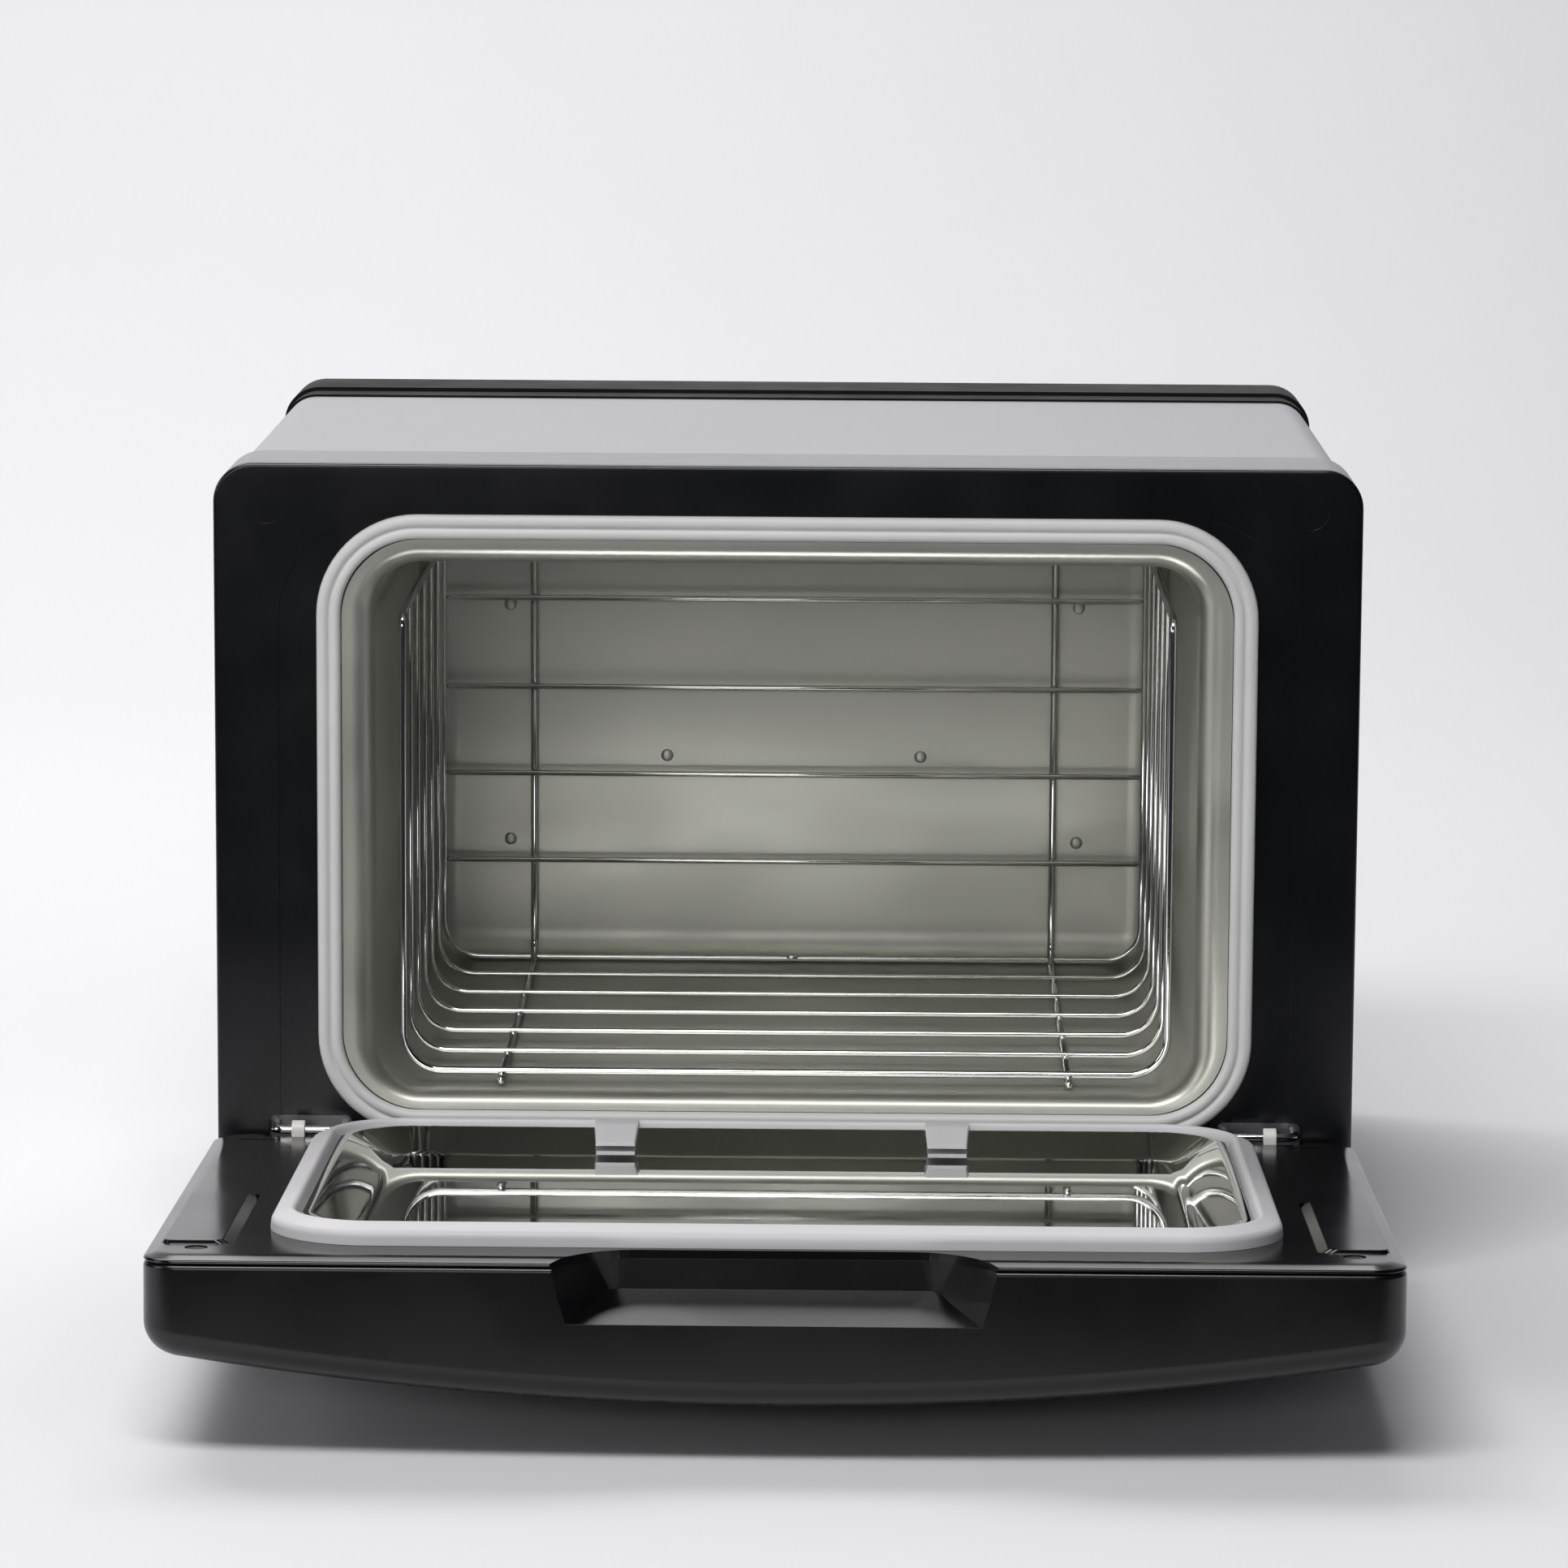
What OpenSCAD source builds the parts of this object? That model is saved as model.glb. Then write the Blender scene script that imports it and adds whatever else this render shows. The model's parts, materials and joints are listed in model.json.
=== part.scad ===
// Countertop hot towel cabinet: an insulated heated box with a drop-down door,
// a deep-drawn aluminium liner and a wire basket.
//
// Frame: origin on the table at the centre of the cabinet's footprint, +Z up,
// the door opens towards -Y. At rest the door hangs open, as it is loaded.

/* [Cabinet] */
// Width over the bezel
body_w = 350; // [330:1:380]
// Depth from the bezel's face to the rear cover's back
body_d = 276; // [260:1:310]
// Height of the cabinet's case, without the feet
body_h = 243; // [238:1:260]
// Height of the rubber feet
foot_h = 12; // [10:1:20]
// Radius of the case's corners
case_r = 12; // [8:1:16]
// Depth of the light rim behind the bezel
rim_d = 35; // [25:1:45]
// Depth of the rear cover's side walls
rear_d = 45; // [40:1:55]

/* [Cavity] */
// Inside width of the liner
cavity_w = 252; // [244:1:258]
// Inside height of the liner
cavity_h = 164; // [150:1:168]
// Inside depth of the liner, from the bezel's face
cavity_d = 217; // [205:1:220]
// Radius of the liner's corners
cavity_r = 14; // [8:1:18]
// Liner sheet thickness
liner_t = 0.8; // [0.6:0.1:1.2]

/* [Basket] */
// Number of U-shaped wires
wire_count = 7; // [5:1:9]
// Distance between the legs of a U wire, centre to centre
wire_span = 236.8; // [225:0.2:238]
// Height of the U wires above the basket's floor
wire_rise = 142.6; // [120:0.2:146]
// Diameter of the ordinary wires
wire_dia = 1.9; // [1.6:0.1:2.2]
// Diameter of the front wire and of the two runners
runner_dia = 2.4; // [2:0.1:2.6]
// How far the loose basket slides before it would meet the closed door
basket_slide = 15; // [5:1:15]

/* [Door] */
// Door thickness from its inner face to the middle of its curved front
door_t = 42; // [36:1:44]
// Radius of the door's curved front
door_front_r = 1076; // [900:1:1400]
// Angle between the open door and the horizontal
door_tilt = 2.67; // [1:0.01:5]
// Gap between the bezel and the closed door's inner face
door_gap = 10; // [9.8:0.1:12]
// Half width of the finger notch at the door's edge
notch_half_w = 64.4; // [50:0.2:75]
// Depth of the finger notch
notch_d = 16; // [12:0.5:18]

/* [Seals] */
// Width of both silicone rings
seal_w = 7.4; // [7:0.1:8]
// How far the cabinet's ring stands out of the bezel
seal_h = 3.2; // [2.5:0.1:3.3]
// How far the door's ring stands out of the door
gasket_h = 6.2; // [5:0.1:6.3]

/* [Hinge] */
// Diameter of the hinge staple's wire
staple_dia = 2.6; // [2.2:0.1:2.8]
// Radial running clearance in the nylon clips
hinge_play = 0.06; // [0.03:0.01:0.1]

/* [Hidden] */
$fn = 64;

slip = 0.3;                  // clearance between parts that slide together
sheet_t = 0.8;               // steel sheet of the case
wall_t = 2.4;                // moulded walls
cut = 1;                     // overshoot of cutters
weld = 0.1;                  // how far welded wires sink into each other

// Heights are measured from the hinge plane, where the open door's inner face
// meets the bezel, and depths from the bezel's face.
case_top = 206.8;                       // top of the case above the hinge plane
case_bottom = case_top - body_h;
hinge_z = foot_h - case_bottom;         // hinge plane above the table
front_y = -body_d / 2;
case_mid = (case_top + case_bottom) / 2;
bezel_t = 2.6;
step = 2;                               // the shell lies this much inside the bezel
shell_w = body_w - 2 * step;
shell_top = case_top - step;
shell_front = 10;
rear_front = body_d - rear_d;
socket_d = 8;                           // how far the shell reaches into the rear cover
shell_back = rear_front + socket_d - 0.5;

cavity_mid = 94.2;                      // cavity's middle above the hinge plane
cavity_floor = cavity_mid - cavity_h / 2;
lip_grow = 10;                          // the mouth's lip stands this far outside the wall
lip_w = cavity_w + 2 * lip_grow;
lip_h = cavity_h + 13;
lip_r = cavity_r + lip_grow;
lip_mid = 95.3;
flare_d = 8;                            // depth of the flared mouth
seal_inner_w = lip_w + 0.4;
seal_inner_h = lip_h + 0.4;
seal_outer_w = seal_inner_w + 2 * seal_w;
seal_outer_h = seal_inner_h + 2 * seal_w;
seal_r = 31;
recess_w = 311;                         // shallow field around the mouth
recess_h = 232;
recess_top = 191.5;
recess_r = 33;
recess_t = 0.5;
dimple_x = 159;                         // sink marks in the bezel's upper corners
dimple_z = 193.9;
dimple_r = 5.5;
dimple_t = 0.3;
panel_x = 53;                           // shallow panels pressed into the cavity's floor
panel_w = 55;
panel_front = 26;
panel_len = cavity_d - 33;
panel_r = 10;
panel_sink = 0.4;

front_wire_y = 14.2;
last_wire_y = cavity_d - 6;               // the basket ends this far before the back wall
wire_pitch = (last_wire_y - front_wire_y) / (wire_count - 1);
runner_z = cavity_floor + 0.6 + runner_dia / 2;
wire_z = runner_z + runner_dia / 2 + wire_dia / 2 - weld;
wire_r = 12;                            // bend radius of the U wires
rail_rise = wire_rise + (runner_dia - wire_dia) / 2;   // rails above the U wires' floor run
rail_r = 4;
runner_x = 88;
runner_front = 9;
runner_back = last_wire_y + wire_dia / 2 + runner_dia / 2 - weld;
back_wire_z = [49.5, 79.3, 109, 139.2];

staple_r = staple_dia / 2;
axis_lift = 1.4;                        // hinge axis above the door's inner face
axis_y = -(door_gap - axis_lift);       // hinge axis from the bezel's face
axis_v = (-axis_y + axis_lift * sin(door_tilt)) / cos(door_tilt);
axis_z = axis_lift * cos(door_tilt) + axis_v * sin(door_tilt);
staple_in = 135.6;                      // the staple's two legs, from the middle
staple_out = 157;
clip_x = 149.2;
clip_w = 4;
clip_r = 2.9;
hinge_mid = (staple_in + staple_out) / 2;
bracket_y = 4;                          // hinge brackets lie behind the bezel
bracket_t = 2;

// The door is described flat: x across, v away from the cabinet, h above its
// inner face. The ring on the door meets the ring on the cabinet when shut.
door_near = 4;
door_far = 216;
door_w = body_w;
door_r = 10;
door_mid = (door_near + door_far) / 2;
panel_t = 2.4;
close_shift = axis_v - axis_z;          // height when shut = v - close_shift
gasket_mid = close_shift + lip_mid;
gasket_w = seal_outer_w - 1;
gasket_len = seal_outer_h - 1;
gasket_band = 8.4;
gasket_r = 30;
tray_w = gasket_w - 2 * gasket_band - 2 * slip;
tray_len = gasket_len - 2 * gasket_band - 2 * slip;
tray_r = 22;
tray_lip_h = 4.4;                       // top of the tray's rim above the door's face
tray_sink = 2.2;                        // depth of its flat below the door's face
tray_slope = 13.3;
tray_t = 0.6;
notch_floor = 16;
notch_back_half = 46.4;                 // the notch narrows towards its back and its floor
notch_taper = 6;
notch_rise = 6;                         // its floor lies this much higher at the back
screw_x = 160.8;
screw_v = 202;
pad_x = 163;
catch_x = 160;                          // magnets and the steel strips they pull on
pad_v = 156;
pad_len = 80;
pad_w = 16;
pad_h = 0.8;
foot_inset = 28;
foot_front = 52;
foot_back = body_d - 66;
switch_y = cavity_d - 21;                // beside the cavity's back end
switch_z = 26;
rocker_throw = 16;                      // angle between off and on
lamp_y = switch_y - 26;
gland_x = -120;
gland_z = -8;
gland_r = 3.4;                          // bore for the supply cord
bolt_r = 1.5;
rear_screw_inset = 16;
ledge_d = 14;                           // low ledge around the rear cover's front
ledge_t = 1.2;
vent_w = 5;                             // upright slots in the back
vent_h = 50;
vent_low = 40;
vent_pitch = 12;
base_vent_w = 4;                        // slots in the bottom
base_vent_len = 60;
base_vent_front = 90;
base_vent_pitch = 14;
strap_w = 220;                          // strap across the liner's back, with two legs
strap_low = 50;
strap_h = 98;
strap_leg_w = 20;
strap_leg_low = case_bottom + 22;
mat_t = 1.2;                            // heating mats
mat_front = 40;
mat_len = cavity_d - 57;
mat_half = 100;
blanket_t = 17;
blanket_gap = 2.5;                      // room between the liner and the blanket
thermostat_x = 40;
thermostat_z = 118;
blade_x = 3.4;                          // the thermostat's two blades, from its middle
blade_d = 18;                           // their tips behind the liner
fuse_x = -20;
terminal_x = -60;
terminal_z = 71;
terminal_pitch = 13;
terminal_w = 44;
terminal_h = 18;
terminal_d = 16;
lead_r = 1.1;
lead_bend_r = 1.3;                      // rounded corners of the leads
lead_x = shell_w / 2 - 13;              // the switch's lead

// ---------- helpers ----------

// Rectangle with true round corners, centred
module rounded(w, h, r) {
    square([w - 2 * r, h], center = true);
    square([w, h - 2 * r], center = true);
    for (x = [-1, 1], y = [-1, 1])
        translate([x * (w / 2 - r), y * (h / 2 - r)]) circle(r);
}

// Rounded block standing in the XZ plane from depth y0 to y1, centred on height z
module block(w, h, r, y0, y1, z) {
    translate([0, y0, z]) rotate([90, 0, 0]) mirror([0, 0, 1])
        linear_extrude(y1 - y0) rounded(w, h, r);
}

// Move from cabinet measures to the part's frame
module cabinet() { translate([0, front_y, hinge_z]) children(); }

// Move from the flat door's measures to the open door
module door() {
    translate([0, front_y + axis_y, hinge_z + axis_z]) rotate([-door_tilt, 0, 0])
        rotate([0, 0, 180]) translate([0, -axis_v, -axis_lift]) children();
}

// Slab of the door between heights h0 and h1
module slab(w, len, r, h0, h1, mid) {
    translate([0, mid, h0]) linear_extrude(h1 - h0) rounded(w, len, r);
}

// Round rod between two points along one axis
module rod_x(r, x0, x1) { translate([x0, 0, 0]) rotate([0, 90, 0]) cylinder(r = r, h = x1 - x0); }
module rod_y(r, y0, y1) { translate([0, y0, 0]) rotate([-90, 0, 0]) cylinder(r = r, h = y1 - y0); }
module rod_z(r, z0, z1) { translate([0, 0, z0]) cylinder(r = r, h = z1 - z0); }

// Quarter bend of a rod in the XY plane: starts at [bend, 0], ends at [0, bend]
module elbow(r, bend) { rotate_extrude(angle = 90) translate([bend, 0]) circle(r); }

// Screw with a pan head, its head on top of the XY plane
module screw(r, len, head_r) {
    cylinder(r = head_r, h = r * 1.2);
    translate([0, 0, -len]) cylinder(r = r, h = len + 0.1);
}

// ---------- cabinet ----------

// Painted steel wrap: top and both sides in one bent sheet
module outer_shell() {
    color("#b9bac0") cabinet() difference() {
        block(shell_w, 2 * (shell_top - case_mid), case_r - step, shell_front, shell_back, case_mid);
        block(shell_w - 2 * sheet_t, 2 * (shell_top - sheet_t - case_mid), case_r - step - sheet_t,
            shell_front - cut, shell_back + cut, case_mid);
        translate([-body_w, 0, case_bottom - cut])
            cube([2 * body_w, body_d, case_r + cut]);
        translate([shell_w / 2 - sheet_t - cut, switch_y - 9.6, switch_z - 6.6])
            cube([sheet_t + 2 * cut, 19.2, 13.2]);
        translate([0, lamp_y, switch_z])
            rod_x(3.2, shell_w / 2 - sheet_t - cut, shell_w / 2 + cut);
    }
}

// Folded steel bottom with vent slots; its side walls stand inside the shell
module base_pan() {
    pan_w = shell_w - 2 * sheet_t - slip;
    y0 = shell_front + 1;
    y1 = rear_front - 1;
    pan_r = case_r - step - sheet_t;
    pan_h = 2 * (case_mid - case_bottom - step);
    color("#8c8e92") cabinet() difference() {
        block(pan_w, pan_h, pan_r, y0, y1, case_mid);
        block(pan_w - 2 * sheet_t, pan_h - 2 * sheet_t, pan_r - sheet_t, y0 - cut, y1 + cut, case_mid);
        translate([-body_w, 0, case_bottom + 26]) cube([2 * body_w, body_d, body_h]);
        for (i = [-4:4])
            translate([i * base_vent_pitch - base_vent_w / 2, base_vent_front, case_bottom])
                cube([base_vent_w, base_vent_len, 2 * step + sheet_t]);
        for (x = [-1, 1], y = [foot_front, foot_back])
            translate([x * (body_w / 2 - foot_inset), y, case_bottom])
                cylinder(r = bolt_r + 0.2, h = 10);
    }
}

// Light plastic rim between the bezel and the shell
module front_rim() {
    color("#a9aab0") cabinet() difference() {
        block(body_w, body_h, case_r, bezel_t, bezel_t + rim_d, case_mid);
        block(shell_w + 2 * slip, 2 * (shell_top + slip - case_mid), case_r - step + slip,
            shell_front - slip, bezel_t + rim_d + cut, case_mid);
        block(body_w - 20, body_h - 20, case_r, -cut, bezel_t + rim_d, case_mid);
    }
}

// Black front frame with the shallow field around the mouth and two hinge slots
module front_bezel() {
    color("#14161a") cabinet() difference() {
        block(body_w, body_h, case_r, 0, bezel_t, case_mid);
        block(recess_w, recess_h, recess_r, -cut, recess_t, recess_top - recess_h / 2);
        block(lip_w + 2 * slip, lip_h + 2 * slip, lip_r, -cut, bezel_t + cut, lip_mid);
        for (s = [-1, 1]) {
            translate([s * hinge_mid, bezel_t / 2, -0.5])
                cube([staple_out - staple_in + 4, bezel_t + 2 * cut, 10], center = true);
            translate([s * dimple_x, 0, dimple_z]) rod_y(dimple_r, -cut, dimple_t);
        }
    }
}

// Moulded back with vent slots, the cord's inlet hole and four screw holes
module rear_cover() {
    color("#151c1b") cabinet() difference() {
        block(body_w, body_h, case_r, rear_front, body_d, case_mid);
        block(body_w - 2 * wall_t, body_h - 2 * wall_t, case_r - wall_t,
            rear_front + socket_d, body_d - wall_t, case_mid);
        block(shell_w + 2 * slip, body_h - 2 * step + 2 * slip, case_r - step + slip,
            rear_front - cut, rear_front + socket_d + slip, case_mid);
        difference() {
            block(body_w + 2 * cut, body_h + 2 * cut, case_r + cut, rear_front - cut,
                rear_front + ledge_d, case_mid);
            block(body_w - 2 * ledge_t, body_h - 2 * ledge_t, case_r - ledge_t,
                rear_front - 2 * cut, rear_front + ledge_d + cut, case_mid);
        }
        for (i = [-7:7]) translate([i * vent_pitch - vent_w / 2, body_d - 6, vent_low])
            cube([vent_w, 12, vent_h]);
        translate([gland_x, 0, gland_z]) rod_y(7, body_d - 6, body_d + 6);
        for (x = [-1, 1], z = [case_bottom + rear_screw_inset, case_top - rear_screw_inset])
            translate([x * (body_w / 2 - rear_screw_inset), 0, z]) {
                rod_y(bolt_r + 0.2, body_d - 6, body_d + 6);
                rod_y(3.2, body_d - 1, body_d + 6);
            }
    }
}

module feet() {
    color("#1c1c1e") translate([0, front_y, 0])
        for (x = [-1, 1], y = [foot_front, foot_back])
            translate([x * (body_w / 2 - foot_inset), y, 0]) difference() {
                cylinder(r = 11, h = foot_h + step);
                translate([0, 0, -cut]) cylinder(r = 4, h = 6 + cut);
                cylinder(r = bolt_r, h = foot_h + step + cut);
            }
}

// ---------- cavity ----------

// Deep-drawn aluminium box with a flared lip and two shallow floor panels
module cavity_liner() {
    out = 2 * liner_t;
    color("#c9cac6") cabinet() difference() {
        union() {
            block(cavity_w + out, cavity_h + out, cavity_r + liner_t, flare_d, cavity_d + liner_t,
                cavity_mid);
            hull() {
                block(lip_w, lip_h, lip_r, 0, liner_t, lip_mid, $fn = 32);
                block(cavity_w + out, cavity_h + out, cavity_r + liner_t, flare_d, flare_d + 0.5,
                    cavity_mid, $fn = 32);
            }
        }
        block(cavity_w, cavity_h, cavity_r, flare_d - cut, cavity_d, cavity_mid);
        hull() {
            block(lip_w - 6, lip_h - 6, lip_r - 3, -cut, 0, lip_mid, $fn = 32);
            block(cavity_w, cavity_h, cavity_r, flare_d, flare_d + 0.5, cavity_mid, $fn = 32);
        }
        for (s = [-1, 1])
            translate([s * panel_x, panel_front + panel_len / 2, cavity_floor - panel_sink])
                linear_extrude(cut) rounded(panel_w, panel_len, panel_r);
        for (p = rivet_places()) translate([p[0], 0, p[1]])
            rod_y(2, cavity_d - cut, cavity_d + liner_t + cut);
    }
}

// Silicone ring with two beads around the mouth
module cavity_seal() {
    groove = 1.8;
    color("#c6c7c9") cabinet() difference() {
        block(seal_outer_w, seal_outer_h, seal_r, -seal_h, recess_t, lip_mid);
        block(seal_inner_w, seal_inner_h, seal_r - seal_w, -seal_h - cut, recess_t + cut, lip_mid);
        difference() {
            block(seal_outer_w - seal_w + groove, seal_outer_h - seal_w + groove,
                seal_r - (seal_w - groove) / 2, -seal_h - cut, -seal_h + 1, lip_mid);
            block(seal_outer_w - seal_w - groove, seal_outer_h - seal_w - groove,
                seal_r - (seal_w + groove) / 2, -seal_h - 2 * cut, -seal_h + 2, lip_mid);
        }
    }
}

// Steel strap across the liner's back; it carries the controls
module rear_bracket() {
    y0 = cavity_d + liner_t;
    color("#9a9c9e") cabinet() difference() {
        union() {
            translate([-strap_w / 2, y0, strap_low]) cube([strap_w, sheet_t, strap_h]);
            for (x = [-strap_w / 2, strap_w / 2 - strap_leg_w]) translate([x, y0, strap_leg_low])
                cube([strap_leg_w, sheet_t, strap_low - strap_leg_low + 1]);
        }
        for (p = rivet_places()) translate([p[0], 0, p[1]]) rod_y(2.1, y0 - cut, y0 + 2 * cut);
        translate([thermostat_x, 0, thermostat_z]) rod_y(9, y0 - cut, y0 + 2 * cut);
    }
}

function rivet_places() = [[-96.3, 55.6], [96.3, 55.6], [-43, 84.8], [43, 84.8],
    [-96.3, 136.2], [96.3, 136.2]];

// Blind rivets that hold the strap; their heads show on the cavity's back wall
module liner_rivets() {
    color("#d8d9d6") cabinet() for (p = rivet_places()) translate([p[0], 0, p[1]]) {
        rod_y(2, cavity_d - 0.8, cavity_d + liner_t + sheet_t + 1);
        rod_y(3, cavity_d + liner_t + sheet_t, cavity_d + liner_t + sheet_t + 1.2);
    }
}

// Silicone heating mats on the floor and both sides of the liner
module heater_pads() {
    out = cavity_w / 2 + liner_t;
    color("#9b4a32") cabinet() {
        translate([-mat_half, mat_front, cavity_floor - liner_t - mat_t])
            cube([2 * mat_half, mat_len, mat_t]);
        for (s = [-1, 1]) translate([s > 0 ? out : -out - mat_t, mat_front, cavity_mid - mat_half / 2])
            cube([mat_t, mat_len, mat_half]);
    }
}

// Glass-fibre wrap around the liner's four walls, open at the front and the back
module insulation_blanket() {
    room_w = cavity_w + 2 * liner_t + 2 * blanket_gap;
    room_h = cavity_h + 2 * liner_t + 2 * blanket_gap;
    color("#e3d9b4") cabinet() difference() {
        block(room_w + 2 * blanket_t, room_h + 2 * blanket_t, 24, shell_front + 24, cavity_d, cavity_mid);
        block(room_w, room_h, cavity_r + 2, 0, cavity_d + cut, cavity_mid);
    }
}

module thermostat() {
    y0 = cavity_d + liner_t;
    color("#d9d4c8") cabinet() translate([thermostat_x, 0, thermostat_z]) {
        rod_y(8.4, y0, y0 + 5);
        rod_y(6, y0 + 5, y0 + 11);
        for (s = [-1, 1]) translate([s * blade_x - 0.4, y0 + 11, -2]) cube([0.8, blade_d - 11, 4]);
    }
}

module thermal_fuse() {
    y0 = cavity_d + liner_t + sheet_t;
    color("#c8b070") cabinet() translate([fuse_x, y0 + 2.6, thermostat_z]) {
        rod_x(2.4, -6, 6);
        rod_x(0.6, -14, 14);
    }
}

// Ceramic terminal block standing on the strap
module terminal_block() {
    y0 = cavity_d + liner_t + sheet_t;
    color("#eceae2") cabinet() difference() {
        translate([terminal_x - terminal_w / 2, y0, terminal_z - terminal_h / 2])
            cube([terminal_w, terminal_d, terminal_h]);
        for (i = [-1, 0, 1]) translate([terminal_x + i * terminal_pitch, 0, terminal_z])
            rod_y(3, y0 + 9, y0 + terminal_d + cut);
    }
}

// Leads between the terminal block, the thermostat, the fuse, the switch and the lamp
module wiring() {
    y = cavity_d + liner_t + sheet_t + terminal_d + 8;
    y_low = y - 4;                      // the switch's lead passes in front of the others
    x_in = terminal_x - terminal_pitch;
    x_out = terminal_x + terminal_pitch;
    x_blade = thermostat_x + blade_x;
    color("#b03a2c") cabinet() {
        translate([x_in, 0, terminal_z]) rod_y(lead_r, y - 12, y);
        translate([x_in, y, terminal_z]) sphere(lead_bend_r);
        translate([x_in, y, 0]) rod_z(lead_r, gland_z, terminal_z);
        translate([x_in, y, gland_z]) sphere(lead_bend_r);
        translate([0, y, gland_z]) rod_x(lead_r, gland_x, x_in);
        translate([gland_x, y, gland_z]) sphere(lead_bend_r);
        translate([gland_x, 0, gland_z]) rod_y(lead_r, y, body_d - 10);
        translate([x_out, 0, terminal_z]) rod_y(lead_r, y - 12, y);
        translate([x_out, y, terminal_z]) sphere(lead_bend_r);
        translate([0, y, terminal_z]) rod_x(lead_r, x_out, x_blade);
        translate([x_blade, y, terminal_z]) sphere(lead_bend_r);
        translate([x_blade, y, 0]) rod_z(lead_r, terminal_z, thermostat_z);
        translate([x_blade, y, thermostat_z]) sphere(lead_bend_r);
        translate([x_blade, 0, thermostat_z]) rod_y(lead_r, cavity_d + liner_t + blade_d, y);
        translate([terminal_x, 0, terminal_z]) rod_y(lead_r, y - 12, y_low);
        translate([terminal_x, y_low, terminal_z]) sphere(lead_bend_r);
        translate([terminal_x, y_low, 0]) rod_z(lead_r, switch_z, terminal_z);
        translate([terminal_x, y_low, switch_z]) sphere(lead_bend_r);
        translate([0, y_low, switch_z]) rod_x(lead_r, terminal_x, lead_x);
        translate([lead_x, y_low, switch_z]) sphere(lead_bend_r);
        translate([lead_x, 0, switch_z]) rod_y(lead_r, switch_y + 9.4, y_low);
    }
}

// Nylon gland for the supply cord: flange, neck and nut around a through bore
module cord_gland() {
    color("#101112") cabinet() translate([gland_x, 0, gland_z]) difference() {
        union() {
            rod_y(9.5, body_d, body_d + 3);
            rod_y(6.8, body_d - 9, body_d + 1);
            rod_y(10, body_d - 7, body_d - wall_t);
        }
        rod_y(gland_r, body_d - 20, body_d + 8);
    }
}

// ---------- switch ----------

// Rocker switch body in the right-hand side wall
module switch_housing() {
    x = shell_w / 2;
    color("#18191b") cabinet() difference() {
        union() {
            translate([x, switch_y - 11, switch_z - 8]) cube([1, 22, 16]);
            translate([x - 15, switch_y - 9.4, switch_z - 6.4]) cube([15.5, 18.8, 12.8]);
        }
        translate([x - 9, switch_y - 8.4, switch_z - 5.4]) cube([12, 16.8, 10.8]);
    }
}

// Rocker: it turns on a round back inside the housing
module switch_rocker() {
    x = shell_w / 2 - 1;
    color("#a8161c") cabinet() translate([x - 2, switch_y, switch_z])
        rotate([0, 0, -rocker_throw / 2]) intersection() {
            translate([-4, -7.6, -4.8]) cube([8, 15.2, 9.6]);
            difference() {
                translate([0, 0, -5]) cylinder(r = 7.9, h = 10);
                translate([23.4, 0, -6]) cylinder(r = 20.6, h = 12);
            }
        }
}

module pilot_lamp() {
    x = shell_w / 2;
    color("#d84a2a") cabinet() translate([0, lamp_y, switch_z]) {
        rod_x(4.2, x, x + 1.2);
        rod_x(3, x - 14, x + 0.1);
    }
}

// ---------- hinges and catches ----------

// Steel angle plates behind the bezel; the staples' legs are pressed into them
module hinge_brackets() {
    color("#a0a2a4") cabinet() for (s = [-1, 1]) difference() {
        translate([s * hinge_mid - 15, bracket_y, -14]) cube([30, bracket_t, 24]);
        for (x = [staple_in, staple_out]) translate([s * x, 0, axis_z])
            rod_y(staple_r, bracket_y - cut, bracket_y + bracket_t + cut);
        for (x = [-7, 7]) translate([s * hinge_mid + x, 0, -9])
            rod_y(bolt_r, bracket_y - cut, bracket_y + bracket_t + cut);
    }
}

// One bent-wire staple; side is -1 on the left and 1 on the right
module staple(side) {
    bend = 3;
    color("#d0d1d0") cabinet() translate([0, axis_y, axis_z]) {
        translate([0, 0, 0]) rod_x(staple_r, (side > 0 ? staple_in : -staple_out) + bend,
            (side > 0 ? staple_out : -staple_in) - bend);
        for (x = [staple_in, staple_out]) translate([side * x, 0, 0])
            rod_y(staple_r, bend, bracket_y + bracket_t - axis_y);
        for (x = [staple_in, staple_out]) {
            turn = (x == staple_out) == (side > 0);
            translate([side * x + (turn ? -bend : bend), bend, 0])
                rotate([0, 0, turn ? -90 : 180]) elbow(staple_r, bend);
        }
    }
}

module hinge_staple_left() { staple(-1); }
module hinge_staple_right() { staple(1); }

// Nylon clip on the door that turns on the staple
module clip(side) {
    color("#eeeeec") door() difference() {
        union() {
            translate([-side * clip_x, axis_v, axis_lift]) rod_x(clip_r, -clip_w / 2, clip_w / 2);
            translate([-side * clip_x - clip_w / 2, axis_v - clip_r, -1.4])
                cube([clip_w, 2 * clip_r, axis_lift + 1.4]);
        }
        translate([-side * clip_x, axis_v, axis_lift])
            rod_x(staple_r + hinge_play, -clip_w, clip_w);
    }
}

module hinge_clip_left() { clip(-1); }
module hinge_clip_right() { clip(1); }

// Steel strips behind the bezel that the door's magnets pull on
module catch_plates() {
    color("#a0a2a4") cabinet() for (s = [-1, 1])
        translate([s * catch_x - 4, bezel_t, pad_v - pad_len / 2 - close_shift])
            cube([8, 1.2, pad_len]);
}

module bracket_screws() {
    color("#c4c5c6") cabinet() for (s = [-1, 1], x = [-7, 7])
        translate([s * hinge_mid + x, bracket_y + bracket_t, -9]) rotate([-90, 0, 0])
            screw(bolt_r, 3, 2.8);
}

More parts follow.
